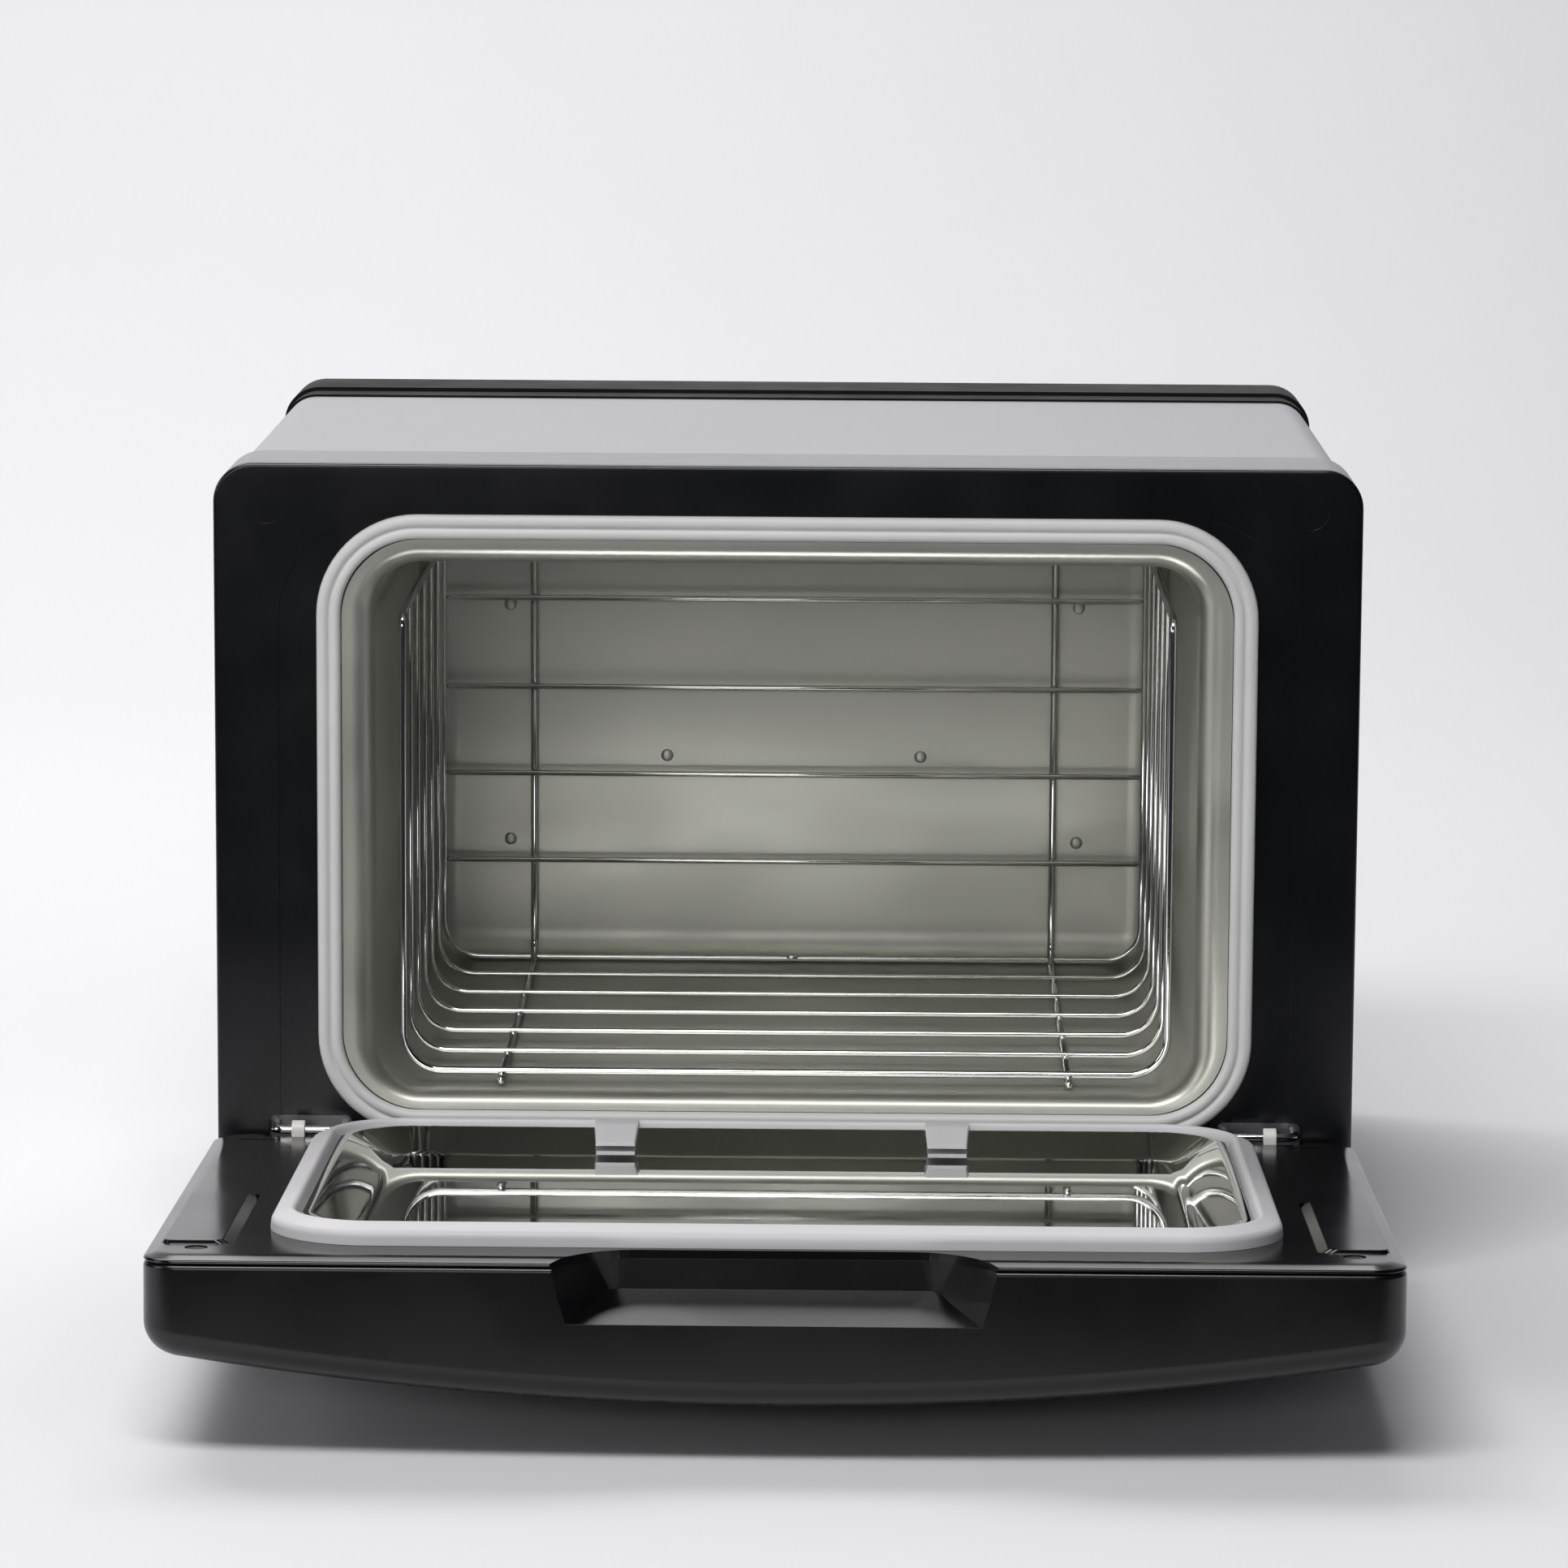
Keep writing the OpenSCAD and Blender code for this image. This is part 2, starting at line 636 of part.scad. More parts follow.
module rear_cover_screws() {
    color("#3a3b3d") cabinet() for (x = [-1, 1], z = [case_bottom + rear_screw_inset, case_top - rear_screw_inset])
        translate([x * (body_w / 2 - rear_screw_inset), body_d - 1, z]) {
            rod_y(2.9, 0, 0.8);
            rod_y(bolt_r, -9, 0.1);
        }
}

module base_screws() {
    color("#c4c5c6") translate([0, front_y, 0])
        for (x = [-1, 1], y = [foot_front, foot_back])
            translate([x * (body_w / 2 - foot_inset), y, 6])
                cylinder(r = bolt_r, h = foot_h - 3);
}

// ---------- basket ----------

// Half outline of a U wire: floor run, bend and leg, mirrored to make the whole
module u_wire(r, top) {
    half = wire_span / 2;
    union() {
        rod_x(r, -half + wire_r, half - wire_r);
        for (s = [-1, 1]) {
            translate([s * half, 0, 0]) rod_z(r, wire_r, top);
            translate([s * (half - wire_r), 0, wire_r]) rotate([90, 0, 0])
                rotate([0, 0, s > 0 ? -90 : 180]) elbow(r, wire_r);
        }
    }
}

// Thicker front wire; its ends bend back and run into the side rails
module basket_front_wire() {
    color("#d8dadb") cabinet() translate([0, front_wire_y, wire_z + (runner_dia - wire_dia) / 2])
        u_wire(runner_dia / 2, wire_rise - rail_r);
}

module basket_u_wires() {
    color("#d0d2d3") cabinet() for (i = [1:wire_count - 1])
        translate([0, front_wire_y + i * wire_pitch, wire_z])
            u_wire(wire_dia / 2, rail_rise - runner_dia / 2 + weld);
}

// Side rails: the front wire's ends carried on to the back
module basket_rails() {
    r = runner_dia / 2;
    z = wire_z + rail_rise - rail_r;
    color("#d8dadb") cabinet() for (s = [-1, 1]) translate([s * wire_span / 2, front_wire_y, z]) {
        translate([0, rail_r, 0]) rotate([90, 0, -90]) elbow(r, rail_r);
        translate([0, 0, rail_r]) rod_y(r, rail_r, last_wire_y - front_wire_y);
    }
}

// Two long runners under the floor that turn up behind the last wire
module basket_runners() {
    r = runner_dia / 2;
    bend = 5;
    color("#d8dadb") cabinet() for (s = [-1, 1]) translate([s * runner_x, 0, runner_z]) {
        rod_y(r, runner_front, runner_back - bend);
        translate([0, runner_back - bend, bend]) rotate([90, 0, 90])
            rotate([0, 0, -90]) elbow(r, bend);
        translate([0, runner_back, 0]) rod_z(r, bend, wire_z + wire_rise - runner_z);
    }
}

module basket_back_wires() {
    back_half = (wire_span - wire_dia) / 2 + weld;
    color("#d0d2d3") cabinet() for (z = back_wire_z) translate([0, last_wire_y, z])
        rod_x(wire_dia / 2, -back_half, back_half);
}

// ---------- door ----------

// Finger notch, grown by a wall thickness to make the pocket around it
module notch(grow) {
    back = door_far - notch_d;
    hull() {
        translate([0, 0, 0]) linear_extrude(cut) polygon([
            [-notch_half_w - grow, door_far + cut], [notch_half_w + grow, door_far + cut],
            [notch_back_half + grow, back - grow], [-notch_back_half - grow, back - grow]]);
        translate([0, door_far + cut, -notch_floor - grow]) rotate([-90, 0, 0]) mirror([0, 0, 1])
            linear_extrude(0.1) square([2 * (notch_half_w - notch_taper + grow), 0.1], center = true);
        translate([0, back + 1 - grow, -notch_floor + notch_rise - grow]) linear_extrude(0.1)
            square([2 * (notch_back_half - notch_taper / 2 + grow), 0.1], center = true);
    }
}

// Solid envelope of the door below its inner panel, with the curved front
module door_body(inset) {
    intersection() {
        slab(door_w - 2 * inset, door_far - door_near - 2 * inset, door_r - inset,
            -door_t - cut, -panel_t, door_mid);
        translate([0, 0, door_front_r - door_t + inset]) rotate([-90, 0, 0])
            translate([0, 0, -cut]) cylinder(r = door_front_r, h = door_far + 2 * cut, $fn = 200);
    }
}

module door_outer_shell() {
    color("#15161a") door() difference() {
        door_body(0);
        difference() {
            union() {
                door_body(wall_t);
                slab(door_w - 2 * wall_t, door_far - door_near - 2 * wall_t, door_r - wall_t,
                    -panel_t - 4, cut, door_mid);
            }
            notch(wall_t);
        }
        notch(0);
    }
}

// Inner frame of the door with raised magnet pads and a pocket at each hinge
module door_inner_panel() {
    color("#17181c") door() difference() {
        union() {
            slab(door_w, door_far - door_near, door_r, -panel_t + 0.1, 0, door_mid);
            for (s = [-1, 1]) translate([s * pad_x, pad_v, -0.1]) linear_extrude(pad_h + 0.1)
                rounded(pad_w, pad_len, 5);
        }
        slab(tray_w - 3, tray_len - 3, tray_r, -panel_t - cut, cut, gasket_mid);
        for (s = [-1, 1]) {
            translate([s * hinge_mid - 13.5, -cut, -1.5])
                cube([27, axis_v + 5 + cut, 4]);
            translate([s * screw_x, screw_v, -1.2]) cylinder(r = 3.25, h = 4);
            translate([s * screw_x, screw_v, -4]) cylinder(r = bolt_r, h = 6);
        }
        notch(0);
    }
}

// Silicone ring of the door: a bead that slopes up towards its inner edge
module door_gasket() {
    rise = gasket_h - 3.6;
    color("#cccad3") door() {
        difference() {
            union() {
                slab(gasket_w, gasket_len, gasket_r, 0, 3.6, gasket_mid);
                slab(gasket_w - 4, gasket_len - 4, gasket_r - 2, 3.6, 3.6 + rise, gasket_mid);
            }
            slab(gasket_w - 2 * gasket_band, gasket_len - 2 * gasket_band, gasket_r - gasket_band,
                -cut, gasket_h + cut, gasket_mid);
        }
    }
}

// Mirror-polished tray pan: rim, slopes and a flat
module door_tray() {
    top = tray_lip_h;
    flat_w = tray_w - 2 * tray_slope;
    flat_len = tray_len - 2 * tray_slope;
    color("#cfd2d4") door() difference() {
        union() {
            slab(tray_w, tray_len, tray_r, 0.1, top, gasket_mid);
            hull() {
                slab(tray_w - 3.6, tray_len - 3.6, tray_r - 2, top - 1, top, gasket_mid, $fn = 32);
                slab(flat_w + 1, flat_len + 1, tray_r - 9, -tray_sink - tray_t, -tray_sink,
                    gasket_mid, $fn = 32);
            }
        }
        hull() {
            slab(tray_w - 5, tray_len - 5, tray_r - 2, top, top + cut, gasket_mid, $fn = 32);
            slab(flat_w, flat_len, tray_r - 10, -tray_sink, -tray_sink + 0.1, gasket_mid, $fn = 32);
        }
        difference() {
            slab(tray_w - 2 * tray_t, tray_len - 2 * tray_t, tray_r - tray_t, -cut, top - tray_t,
                gasket_mid);
            hull() {
                slab(tray_w - 3.6, tray_len - 3.6, tray_r - 2, top - 1, top, gasket_mid, $fn = 32);
                slab(flat_w + 1, flat_len + 1, tray_r - 9, -tray_sink - tray_t, -tray_sink,
                    gasket_mid, $fn = 32);
            }
        }
    }
}

module door_insulation() {
    color("#e3d9b4") door() slab(tray_w - 30, tray_len - 60, 8, -26, -7, gasket_mid - 10);
}

module door_magnets() {
    color("#3c3e42") door() for (s = [-1, 1])
        translate([s * catch_x - 4, pad_v - 30, -panel_t - 5]) cube([8, 60, 5]);
}

module door_screws() {
    color("#1f2023") door() for (s = [-1, 1]) translate([s * screw_x, screw_v, 0]) {
        translate([0, 0, -1.2]) cylinder(r = 2.9, h = 0.9);
        translate([0, 0, -8]) cylinder(r = bolt_r, h = 7);
    }
}

outer_shell();
base_pan();
front_rim();
front_bezel();
rear_cover();
feet();
cavity_liner();
cavity_seal();
rear_bracket();
liner_rivets();
heater_pads();
insulation_blanket();
thermostat();
thermal_fuse();
terminal_block();
wiring();
cord_gland();
switch_housing();
pilot_lamp();
hinge_brackets();
hinge_staple_left();
hinge_staple_right();
catch_plates();
bracket_screws();
rear_cover_screws();
base_screws();
basket_front_wire();
basket_u_wires();
basket_rails();
basket_runners();
basket_back_wires();
door_outer_shell();
door_inner_panel();
door_gasket();
door_tray();
door_insulation();
door_magnets();
door_screws();
hinge_clip_left();
hinge_clip_right();
switch_rocker();
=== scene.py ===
"""Looks of a countertop hot towel cabinet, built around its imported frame.

Cabinet pieces are built in millimetres: x across, depth d from the bezel's face,
height z above the hinge plane. Door pieces are built flat: x across, v away from
the cabinet, h above the door's inner face.
"""
import json
import math

import bmesh
import bpy
from mathutils import Matrix, Vector


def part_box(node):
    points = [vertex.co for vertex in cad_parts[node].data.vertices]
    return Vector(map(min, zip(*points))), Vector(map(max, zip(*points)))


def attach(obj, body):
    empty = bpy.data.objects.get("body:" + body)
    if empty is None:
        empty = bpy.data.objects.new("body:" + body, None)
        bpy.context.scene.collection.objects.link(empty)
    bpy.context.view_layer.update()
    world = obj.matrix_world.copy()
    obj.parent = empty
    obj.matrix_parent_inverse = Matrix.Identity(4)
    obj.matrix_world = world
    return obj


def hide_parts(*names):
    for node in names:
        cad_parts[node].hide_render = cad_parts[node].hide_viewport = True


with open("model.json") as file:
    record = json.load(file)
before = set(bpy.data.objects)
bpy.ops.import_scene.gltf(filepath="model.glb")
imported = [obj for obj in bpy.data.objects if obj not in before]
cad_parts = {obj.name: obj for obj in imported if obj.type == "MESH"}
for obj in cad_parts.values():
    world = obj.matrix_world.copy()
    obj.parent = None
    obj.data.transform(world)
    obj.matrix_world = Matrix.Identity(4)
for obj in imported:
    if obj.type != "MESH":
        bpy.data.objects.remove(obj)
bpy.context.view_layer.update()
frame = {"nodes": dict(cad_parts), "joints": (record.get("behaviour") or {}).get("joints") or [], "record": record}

bl_info = {
    "name": "Hot towel cabinet",
    "version": (1, 0, 0),
    "blender": (4, 5, 0),
    "location": "View3D > Sidebar > Towel cabinet",
    "description": "Builds the visible pieces of a countertop hot towel cabinet",
    "category": "Object",
}

MM = 0.001
HINGE = next(j for j in frame["joints"] if j["name"] == "door_hinge")


def size_mm(node):
    """Low corner and high corner of a node, in millimetres."""
    low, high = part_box(node)
    return low / MM, high / MM


# Places that the frame gives: bezel face, hinge plane, case and door outlines.
BEZEL_LOW, BEZEL_HIGH = size_mm("front_bezel")
SEAL_LOW, SEAL_HIGH = size_mm("cavity_seal")
LINER_BACK = size_mm("cavity_liner")[1].y
FRONT_Y = BEZEL_LOW.y
CASE_W = BEZEL_HIGH.x - BEZEL_LOW.x
CASE_H = BEZEL_HIGH.z - BEZEL_LOW.z
CASE_TOP = 206.8                  # above the hinge plane
HINGE_Z = BEZEL_HIGH.z - CASE_TOP
CASE_MID = CASE_TOP - CASE_H / 2
AXIS = Vector(HINGE["pos_m"]) / MM
OPEN_ANGLE = HINGE["range_deg"][1]
DOOR_TILT = math.radians(90 - OPEN_ANGLE)
AXIS_LIFT = 1.4                   # hinge axis above the door's inner face
AXIS_Y = AXIS.y - FRONT_Y
AXIS_V = (-AXIS_Y + AXIS_LIFT * math.sin(DOOR_TILT)) / math.cos(DOOR_TILT)
CLOSE_SHIFT = AXIS_V - (AXIS.z - HINGE_Z)

CABINET = Matrix.Translation((0, FRONT_Y * MM, HINGE_Z * MM)) @ Matrix.Scale(MM, 4)
# Ring outlines lie in a local xy plane; this stands them up, with depth along +Y.
STAND = CABINET @ Matrix(((1, 0, 0, 0), (0, 0, 1, 0), (0, 1, 0, 0), (0, 0, 0, 1)))
DOOR = (Matrix.Translation(AXIS * MM) @ Matrix.Rotation(-DOOR_TILT, 4, "X")
        @ Matrix.Rotation(math.pi, 4, "Z") @ Matrix.Scale(MM, 4)
        @ Matrix.Translation((0, -AXIS_V, -AXIS_LIFT)))

LIP_MID = (SEAL_LOW.z + SEAL_HIGH.z) / 2 - HINGE_Z
SEAL_BAND = 7.4
LIP_W = SEAL_HIGH.x - SEAL_LOW.x - 2 * SEAL_BAND
LIP_H = SEAL_HIGH.z - SEAL_LOW.z - 2 * SEAL_BAND
CAVITY_W, CAVITY_H, CAVITY_R = 252, 164, 14
CAVITY_MID = 94.2
CAVITY_D = LINER_BACK - FRONT_Y - 0.8
FLOOR = CAVITY_MID - CAVITY_H / 2
GASKET_MID = CLOSE_SHIFT + LIP_MID
GASKET_BAND = 8.4
TRAY_W = LIP_W + 2 * SEAL_BAND - 1 - 2 * GASKET_BAND - 0.6
TRAY_L = LIP_H + 2 * SEAL_BAND - 1 - 2 * GASKET_BAND - 0.6
DOOR_NEAR, DOOR_FAR = 4, 216
DOOR_R = 10
PANEL_T = 2.4

BEZEL_T = 2.6
FIELD_W, FIELD_H, FIELD_TOP = 311, 232, 191.5      # sunk field on the bezel
POCKET_W = 25.4                   # hinge pocket in the bezel
HINGE_X = 146.3                   # middle of each hinge
STAPLE_HALF = 10.7                # half the width of a wire staple
STAPLE_R = 1.3
STAPLE_DEEP = 6                   # staple legs end this far behind the bezel's face
PAD_W, PAD_L = 20, 80             # magnet pads on the door's inner frame
PAD_X, PAD_V = 161, 156
RIVETS = ((96.3, 55.6), (43, 84.8), (96.3, 136.2))  # heads on the cavity's back wall
U_WIRES = 6
BACK_WIRE_HEIGHTS = (49.5, 79.3, 109, 139.2)
WELD_R = 1.15                     # beads where the basket's wires cross
END_NARROWING, END_LENGTH = 0.6, 0.5               # wire ends, as shares of the radius
TONGUES = (("left", -51), ("right", 50))           # drip tongues and their places across
TONGUE_HALF, TONGUE_T = 6.8, 0.9
CAMERA_TURN = (-0.697, 8.928, 0.332)               # yaw, pitch down and roll, in degrees
CAMERA_PLACE = (23.05, -1947.5, 415.2)
CAMERA_LENS = 147.9


# ---------- settings ----------

def length(name, text, value, low, high):
    """A size in millimetres that a user may change."""
    return bpy.props.FloatProperty(name=name, description=text, default=value, min=low, max=high)


def paint(name, text, hex_value):
    """A colour that a user may change, given as an sRGB hex value."""
    return bpy.props.FloatVectorProperty(name=name, description=text, subtype="COLOR", size=3,
                                         min=0, max=1, default=linear(hex_value))


def linear(hex_value):
    """sRGB hex colour to linear red, green and blue."""
    parts = [int(hex_value[i:i + 2], 16) / 255 for i in (1, 3, 5)]
    return tuple(c / 12.92 if c <= 0.04045 else ((c + 0.055) / 1.055) ** 2.4 for c in parts)


class TowelSizes(bpy.types.PropertyGroup):
    """Sizes of the soft edges and of the wire work, in millimetres."""
    edge: length("Edge", "Rounding of the moulded parts' edges", 1.2, 0.4, 2.0)
    front_fillet: length("Door fillet", "Rounding around the door's curved front", 8.0, 3.0, 10.0)
    door_bulge: length("Door bulge", "Door thickness at the middle of its front", 42.0, 36.0, 44.0)
    front_radius: length("Front radius", "Radius of the door's curved front", 1076.0, 900.0, 1400.0)
    wire: length("Wire", "Diameter of the basket's wires", 1.9, 1.6, 2.2)
    runner: length("Runner", "Diameter of the front wire and the runners", 2.4, 2.0, 2.6)
    tray_slope: length("Tray slope", "Width of the tray's sloping border", 13.3, 9.0, 16.0)


class TowelColours(bpy.types.PropertyGroup):
    """Colours of the finishes that show."""
    case: paint("Case", "Painted steel wrap", "#abacb1")
    rim: paint("Rim", "Light moulded rim", "#8e8f95")
    bezel: paint("Bezel", "Satin black mouldings", "#06090d")
    door: paint("Door", "Semi-gloss black door front", "#070809")
    rear: paint("Rear cover", "Greenish black moulding", "#040807")
    seal: paint("Seal", "Grey silicone on the cabinet", "#dcdedd")
    gasket: paint("Gasket", "Pale silicone on the door", "#d6d6d9")
    liner: paint("Liner", "Satin aluminium", "#cdcec6")


# ---------- materials ----------

def node(tree, kind, links=(), **settings):
    """Adds one shader node, sets its values and links (input name, source socket)."""
    n = tree.nodes.new(kind)
    for key, value in settings.items():
        if key in n.inputs:
            n.inputs[key].default_value = value
        else:
            setattr(n, key, value)
    for name, source in links:
        tree.links.new(source, n.inputs[name])
    return n


def start(name, **values):
    """A new material with a Principled shader whose uniform values are set on its sockets."""
    material = bpy.data.materials.get(name)
    if material:
        return material, None, None
    material = bpy.data.materials.new(name)
    material.use_nodes = True
    tree = material.node_tree
    shader = tree.nodes["Principled BSDF"]
    for key, value in values.items():
        shader.inputs[key.replace("_", " ")].default_value = value
    return material, tree, shader


def grain(tree, spacing_mm, stretch=(1, 1, 1), detail=2.0):
    """Noise with one cell per spacing, stretched along an axis by a value below 1."""
    place = node(tree, "ShaderNodeTexCoord")
    shape = node(tree, "ShaderNodeMapping", [("Vector", place.outputs["Object"])],
                 Scale=[s / (spacing_mm * MM) for s in stretch])
    return node(tree, "ShaderNodeTexNoise", [("Vector", shape.outputs["Vector"])], Scale=1.0,
                Detail=detail)


def vary(tree, source, shader, socket, low, high):
    """Drives one shader socket with the noise, between two values."""
    span = node(tree, "ShaderNodeMapRange", [("Value", source.outputs["Fac"])])
    span.inputs["From Min"].default_value = 0.3
    span.inputs["From Max"].default_value = 0.7
    span.inputs["To Min"].default_value = low
    span.inputs["To Max"].default_value = high
    tree.links.new(span.outputs["Result"], shader.inputs[socket])


def tint(tree, source, shader, colour, spread):
    """Lets the base colour wander a little around its value."""
    dark = [c * (1 - spread) for c in colour] + [1]
    light = [min(1, c * (1 + spread)) for c in colour] + [1]
    mix = node(tree, "ShaderNodeMix", [("Factor", source.outputs["Fac"])], data_type="RGBA")
    mix.inputs[6].default_value = dark
    mix.inputs[7].default_value = light
    tree.links.new(mix.outputs[2], shader.inputs["Base Color"])


def bump(tree, source, shader, height_mm, strength):
    """Raises the surface by the noise."""
    b = node(tree, "ShaderNodeBump", [("Height", source.outputs["Fac"])], Strength=strength,
             Distance=height_mm * MM)
    tree.links.new(b.outputs["Normal"], shader.inputs["Normal"])


def moulded(name, colour, roughness, texture_mm=0.7, strength=0.12, shine=0.5):
    """Injection-moulded ABS: a fine spark-eroded skin breaks up the highlights."""
    material, tree, shader = start(name, Roughness=roughness, IOR=1.53,
                                   Specular_IOR_Level=shine)
    if tree:
        skin = grain(tree, texture_mm)
        wander = grain(tree, 34, detail=3.0)
        tint(tree, wander, shader, colour, 0.12)
        vary(tree, wander, shader, "Roughness", roughness * 0.86, roughness * 1.14)
        bump(tree, skin, shader, 0.05, strength)
    return material


def powder_paint(colour):
    """Powder-painted steel sheet: satin, with a faint orange peel."""
    material, tree, shader = start("powder_painted_steel", Roughness=0.42, IOR=1.5)
    if tree:
        peel = grain(tree, 1.6)
        wander = grain(tree, 60, detail=2.0)
        tint(tree, wander, shader, colour, 0.04)
        vary(tree, wander, shader, "Roughness", 0.38, 0.46)
        bump(tree, peel, shader, 0.04, 0.18)
    return material


def silicone(name, colour, roughness):
    """Moulded silicone rubber: soft light passes a little way in, and the skin is satin."""
    material, tree, shader = start(name, Roughness=roughness, IOR=1.41, Subsurface_Weight=0.25)
    if tree:
        shader.inputs["Subsurface Radius"].default_value = (0.004, 0.004, 0.004)
        shader.inputs["Subsurface Scale"].default_value = 0.5
        skin = grain(tree, 1.2)
        wander = grain(tree, 22, detail=3.0)
        tint(tree, wander, shader, colour, 0.05)
        vary(tree, wander, shader, "Roughness", roughness * 0.88, roughness * 1.12)
        bump(tree, skin, shader, 0.03, 0.12)
    return material


def drawn_aluminium(name, colour, low, high, lines_mm=0.5):
    """Deep-drawn aluminium sheet: satin, with faint rolling lines along its width."""
    material, tree, shader = start(name, Metallic=1.0)
    if tree:
        lines = grain(tree, lines_mm, stretch=(0.02, 0.6, 1), detail=3.0)
        cloud = grain(tree, 30, stretch=(0.5, 1, 1), detail=3.0)
        tint(tree, cloud, shader, colour, 0.05)
        vary(tree, cloud, shader, "Roughness", low, high)
        bump(tree, lines, shader, 0.02, 0.10)
    return material


def plated(name, colour, low, high, ripple_mm=4.0, strength=0.05):
    """Bright plated or polished steel: a tight mirror with a slight ripple."""
    material, tree, shader = start(name, Metallic=1.0)
    if tree:
        ripple = grain(tree, ripple_mm, detail=1.0)
        haze = grain(tree, 14, detail=4.0)
        tint(tree, haze, shader, colour, 0.02)
        vary(tree, haze, shader, "Roughness", low, high)
        bump(tree, ripple, shader, 0.02, strength)
    return material


def fibre(name, colour):
    """Needled glass-fibre wool: matt, tufted and uneven."""
    material, tree, shader = start(name, Roughness=0.95)
    if tree:
        tufts = grain(tree, 3.0, stretch=(0.5, 1, 1), detail=6.0)
        tint(tree, tufts, shader, colour, 0.25)
        bump(tree, tufts, shader, 1.0, 0.6)
    return material


def paper(colour):
    """Matt backdrop paper: pale, with a barely seen cloudiness."""
    material, tree, shader = start("pale_paper", Roughness=0.85)
    if tree:
        tint(tree, grain(tree, 220, detail=2.0), shader, colour, 0.012)
    return material


def finishes():
    """Every finish of the cabinet by its record slot."""
    c = bpy.context.scene.towel_colours
    return {
        "case_paint": powder_paint(tuple(c.case)),
        "rim_plastic": moulded("satin_grey_abs", tuple(c.rim), 0.38, strength=0.08),
        "black_plastic": moulded("satin_black_abs", tuple(c.bezel), 0.25),
        "door_plastic": moulded("semi_gloss_black_abs", tuple(c.door), 0.27, strength=0.07),
        "polished_plastic": moulded("polished_black_abs", tuple(c.door), 0.18, strength=0.02),
        "rear_plastic": moulded("satin_green_black_abs", tuple(c.rear), 0.62,
                                shine=0.2),
        "foot_rubber": silicone("black_rubber", linear("#1b1b1d"), 0.7),
        "liner_aluminium": drawn_aluminium("drawn_aluminium", tuple(c.liner), 0.40, 0.52),
        "seal_silicone": silicone("grey_silicone", tuple(c.seal), 0.48),
        "gasket_silicone": silicone("pale_silicone", tuple(c.gasket), 0.45),
        "heater_silicone": silicone("brick_red_silicone", linear("#9b4a32"), 0.6),
        "glass_fibre": fibre("glass_fibre_wool", linear("#e3d9b4")),
        "ceramic": moulded("glazed_steatite", linear("#e9e6dc"), 0.25, 2.0, 0.05),
        "brass": plated("turned_brass", linear("#c9a85c"), 0.18, 0.26),
        "lead_sleeve": silicone("red_lead_sleeve", linear("#a3382b"), 0.6),
        "lamp_lens": moulded("red_lamp_lens", linear("#c8321e"), 0.12, 3.0, 0.02),
        "chrome_wire": plated("bright_nickel_chrome", linear("#dcdddd"), 0.07, 0.13, 5.0, 0.06),
        "mirror_steel": plated("mirror_polished_steel", linear("#d9dbd9"), 0.015, 0.04, 26.0, 0.05),
        "zinc_steel": plated("zinc_plated_steel", linear("#b9bcc0"), 0.32, 0.45, 3.0, 0.1),
        "magnet": plated("nickel_plated_magnet", linear("#6a6c70"), 0.25, 0.35),
        "black_screw": plated("black_oxide_steel", linear("#2a2b2d"), 0.30, 0.42),
        "white_nylon": silicone("natural_nylon", linear("#f1f0ec"), 0.42),
        "rocker_plastic": moulded("red_rocker_plastic", linear("#a8161c"), 0.22, 2.0, 0.03),
    }


# ---------- mesh work ----------

def finish_piece(bm, name, slot, body, cad_nodes, sharp=35):
    """Turns a bmesh into a piece: smooth with sharp creases, finish, body and CAD nodes."""
    bmesh.ops.remove_doubles(bm, verts=bm.verts, dist=1e-6)
    bmesh.ops.recalc_face_normals(bm, faces=bm.faces)
    mesh = bpy.data.meshes.new(name)
    bm.to_mesh(mesh)
    bm.free()
    obj = bpy.data.objects.new(name, mesh)
    bpy.context.scene.collection.objects.link(obj)
    return dress(obj, slot, body, cad_nodes, sharp)


def dress(obj, slot, body, cad_nodes, sharp=35):
    """Gives a mesh object its shading, its finish and its place in the frame."""
    obj.data.materials.clear()
    obj.data.materials.append(finishes()[slot])
    for face in obj.data.polygons:
        face.use_smooth = True
    obj.data.set_sharp_from_angle(angle=math.radians(sharp))
    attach(obj, body)
    if cad_nodes:
        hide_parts(*cad_nodes)
    return obj


def outline(w, h, r, arc=8, along=10):
    """Points round a rectangle with round corners, the same number for any size."""
    r = max(0.05, min(r, w / 2 - 0.01, h / 2 - 0.01))
    corners = [(w / 2 - r, h / 2 - r, 0), (r - w / 2, h / 2 - r, 90),
               (r - w / 2, r - h / 2, 180), (w / 2 - r, r - h / 2, 270)]
    points = []
    for k, (cx, cy, turn) in enumerate(corners):
        for i in range(arc + 1):
            a = math.radians(turn + 90 * i / arc)
            points.append((cx + r * math.cos(a), cy + r * math.sin(a)))
        nx, ny, _ = corners[(k + 1) % 4]
        a = math.radians(turn + 90)
        x0, y0 = cx + r * math.cos(a), cy + r * math.sin(a)
        x1, y1 = nx + r * math.cos(a), ny + r * math.sin(a)
        points += [(x0 + (x1 - x0) * i / along, y0 + (y1 - y0) * i / along)
                   for i in range(1, along)]
    return points


def soften(points, steps=5):
    """Rounds the corners of a path. Each point is its place, then the length cut off there."""
    out = []
    for i, p in enumerate(points):
        here, cutoff = Vector(p[:-1]), p[-1]
        if not cutoff or i in (0, len(points) - 1):
            out.append(here)
            continue
        before, after = Vector(points[i - 1][:-1]), Vector(points[i + 1][:-1])
        a = here + (before - here).normalized() * min(cutoff, (before - here).length * 0.49)
        b = here + (after - here).normalized() * min(cutoff, (after - here).length * 0.49)
        for k in range(steps + 1):
            t = k / steps
            out.append(a * (1 - t) ** 2 + here * 2 * t * (1 - t) + b * t ** 2)
    return out


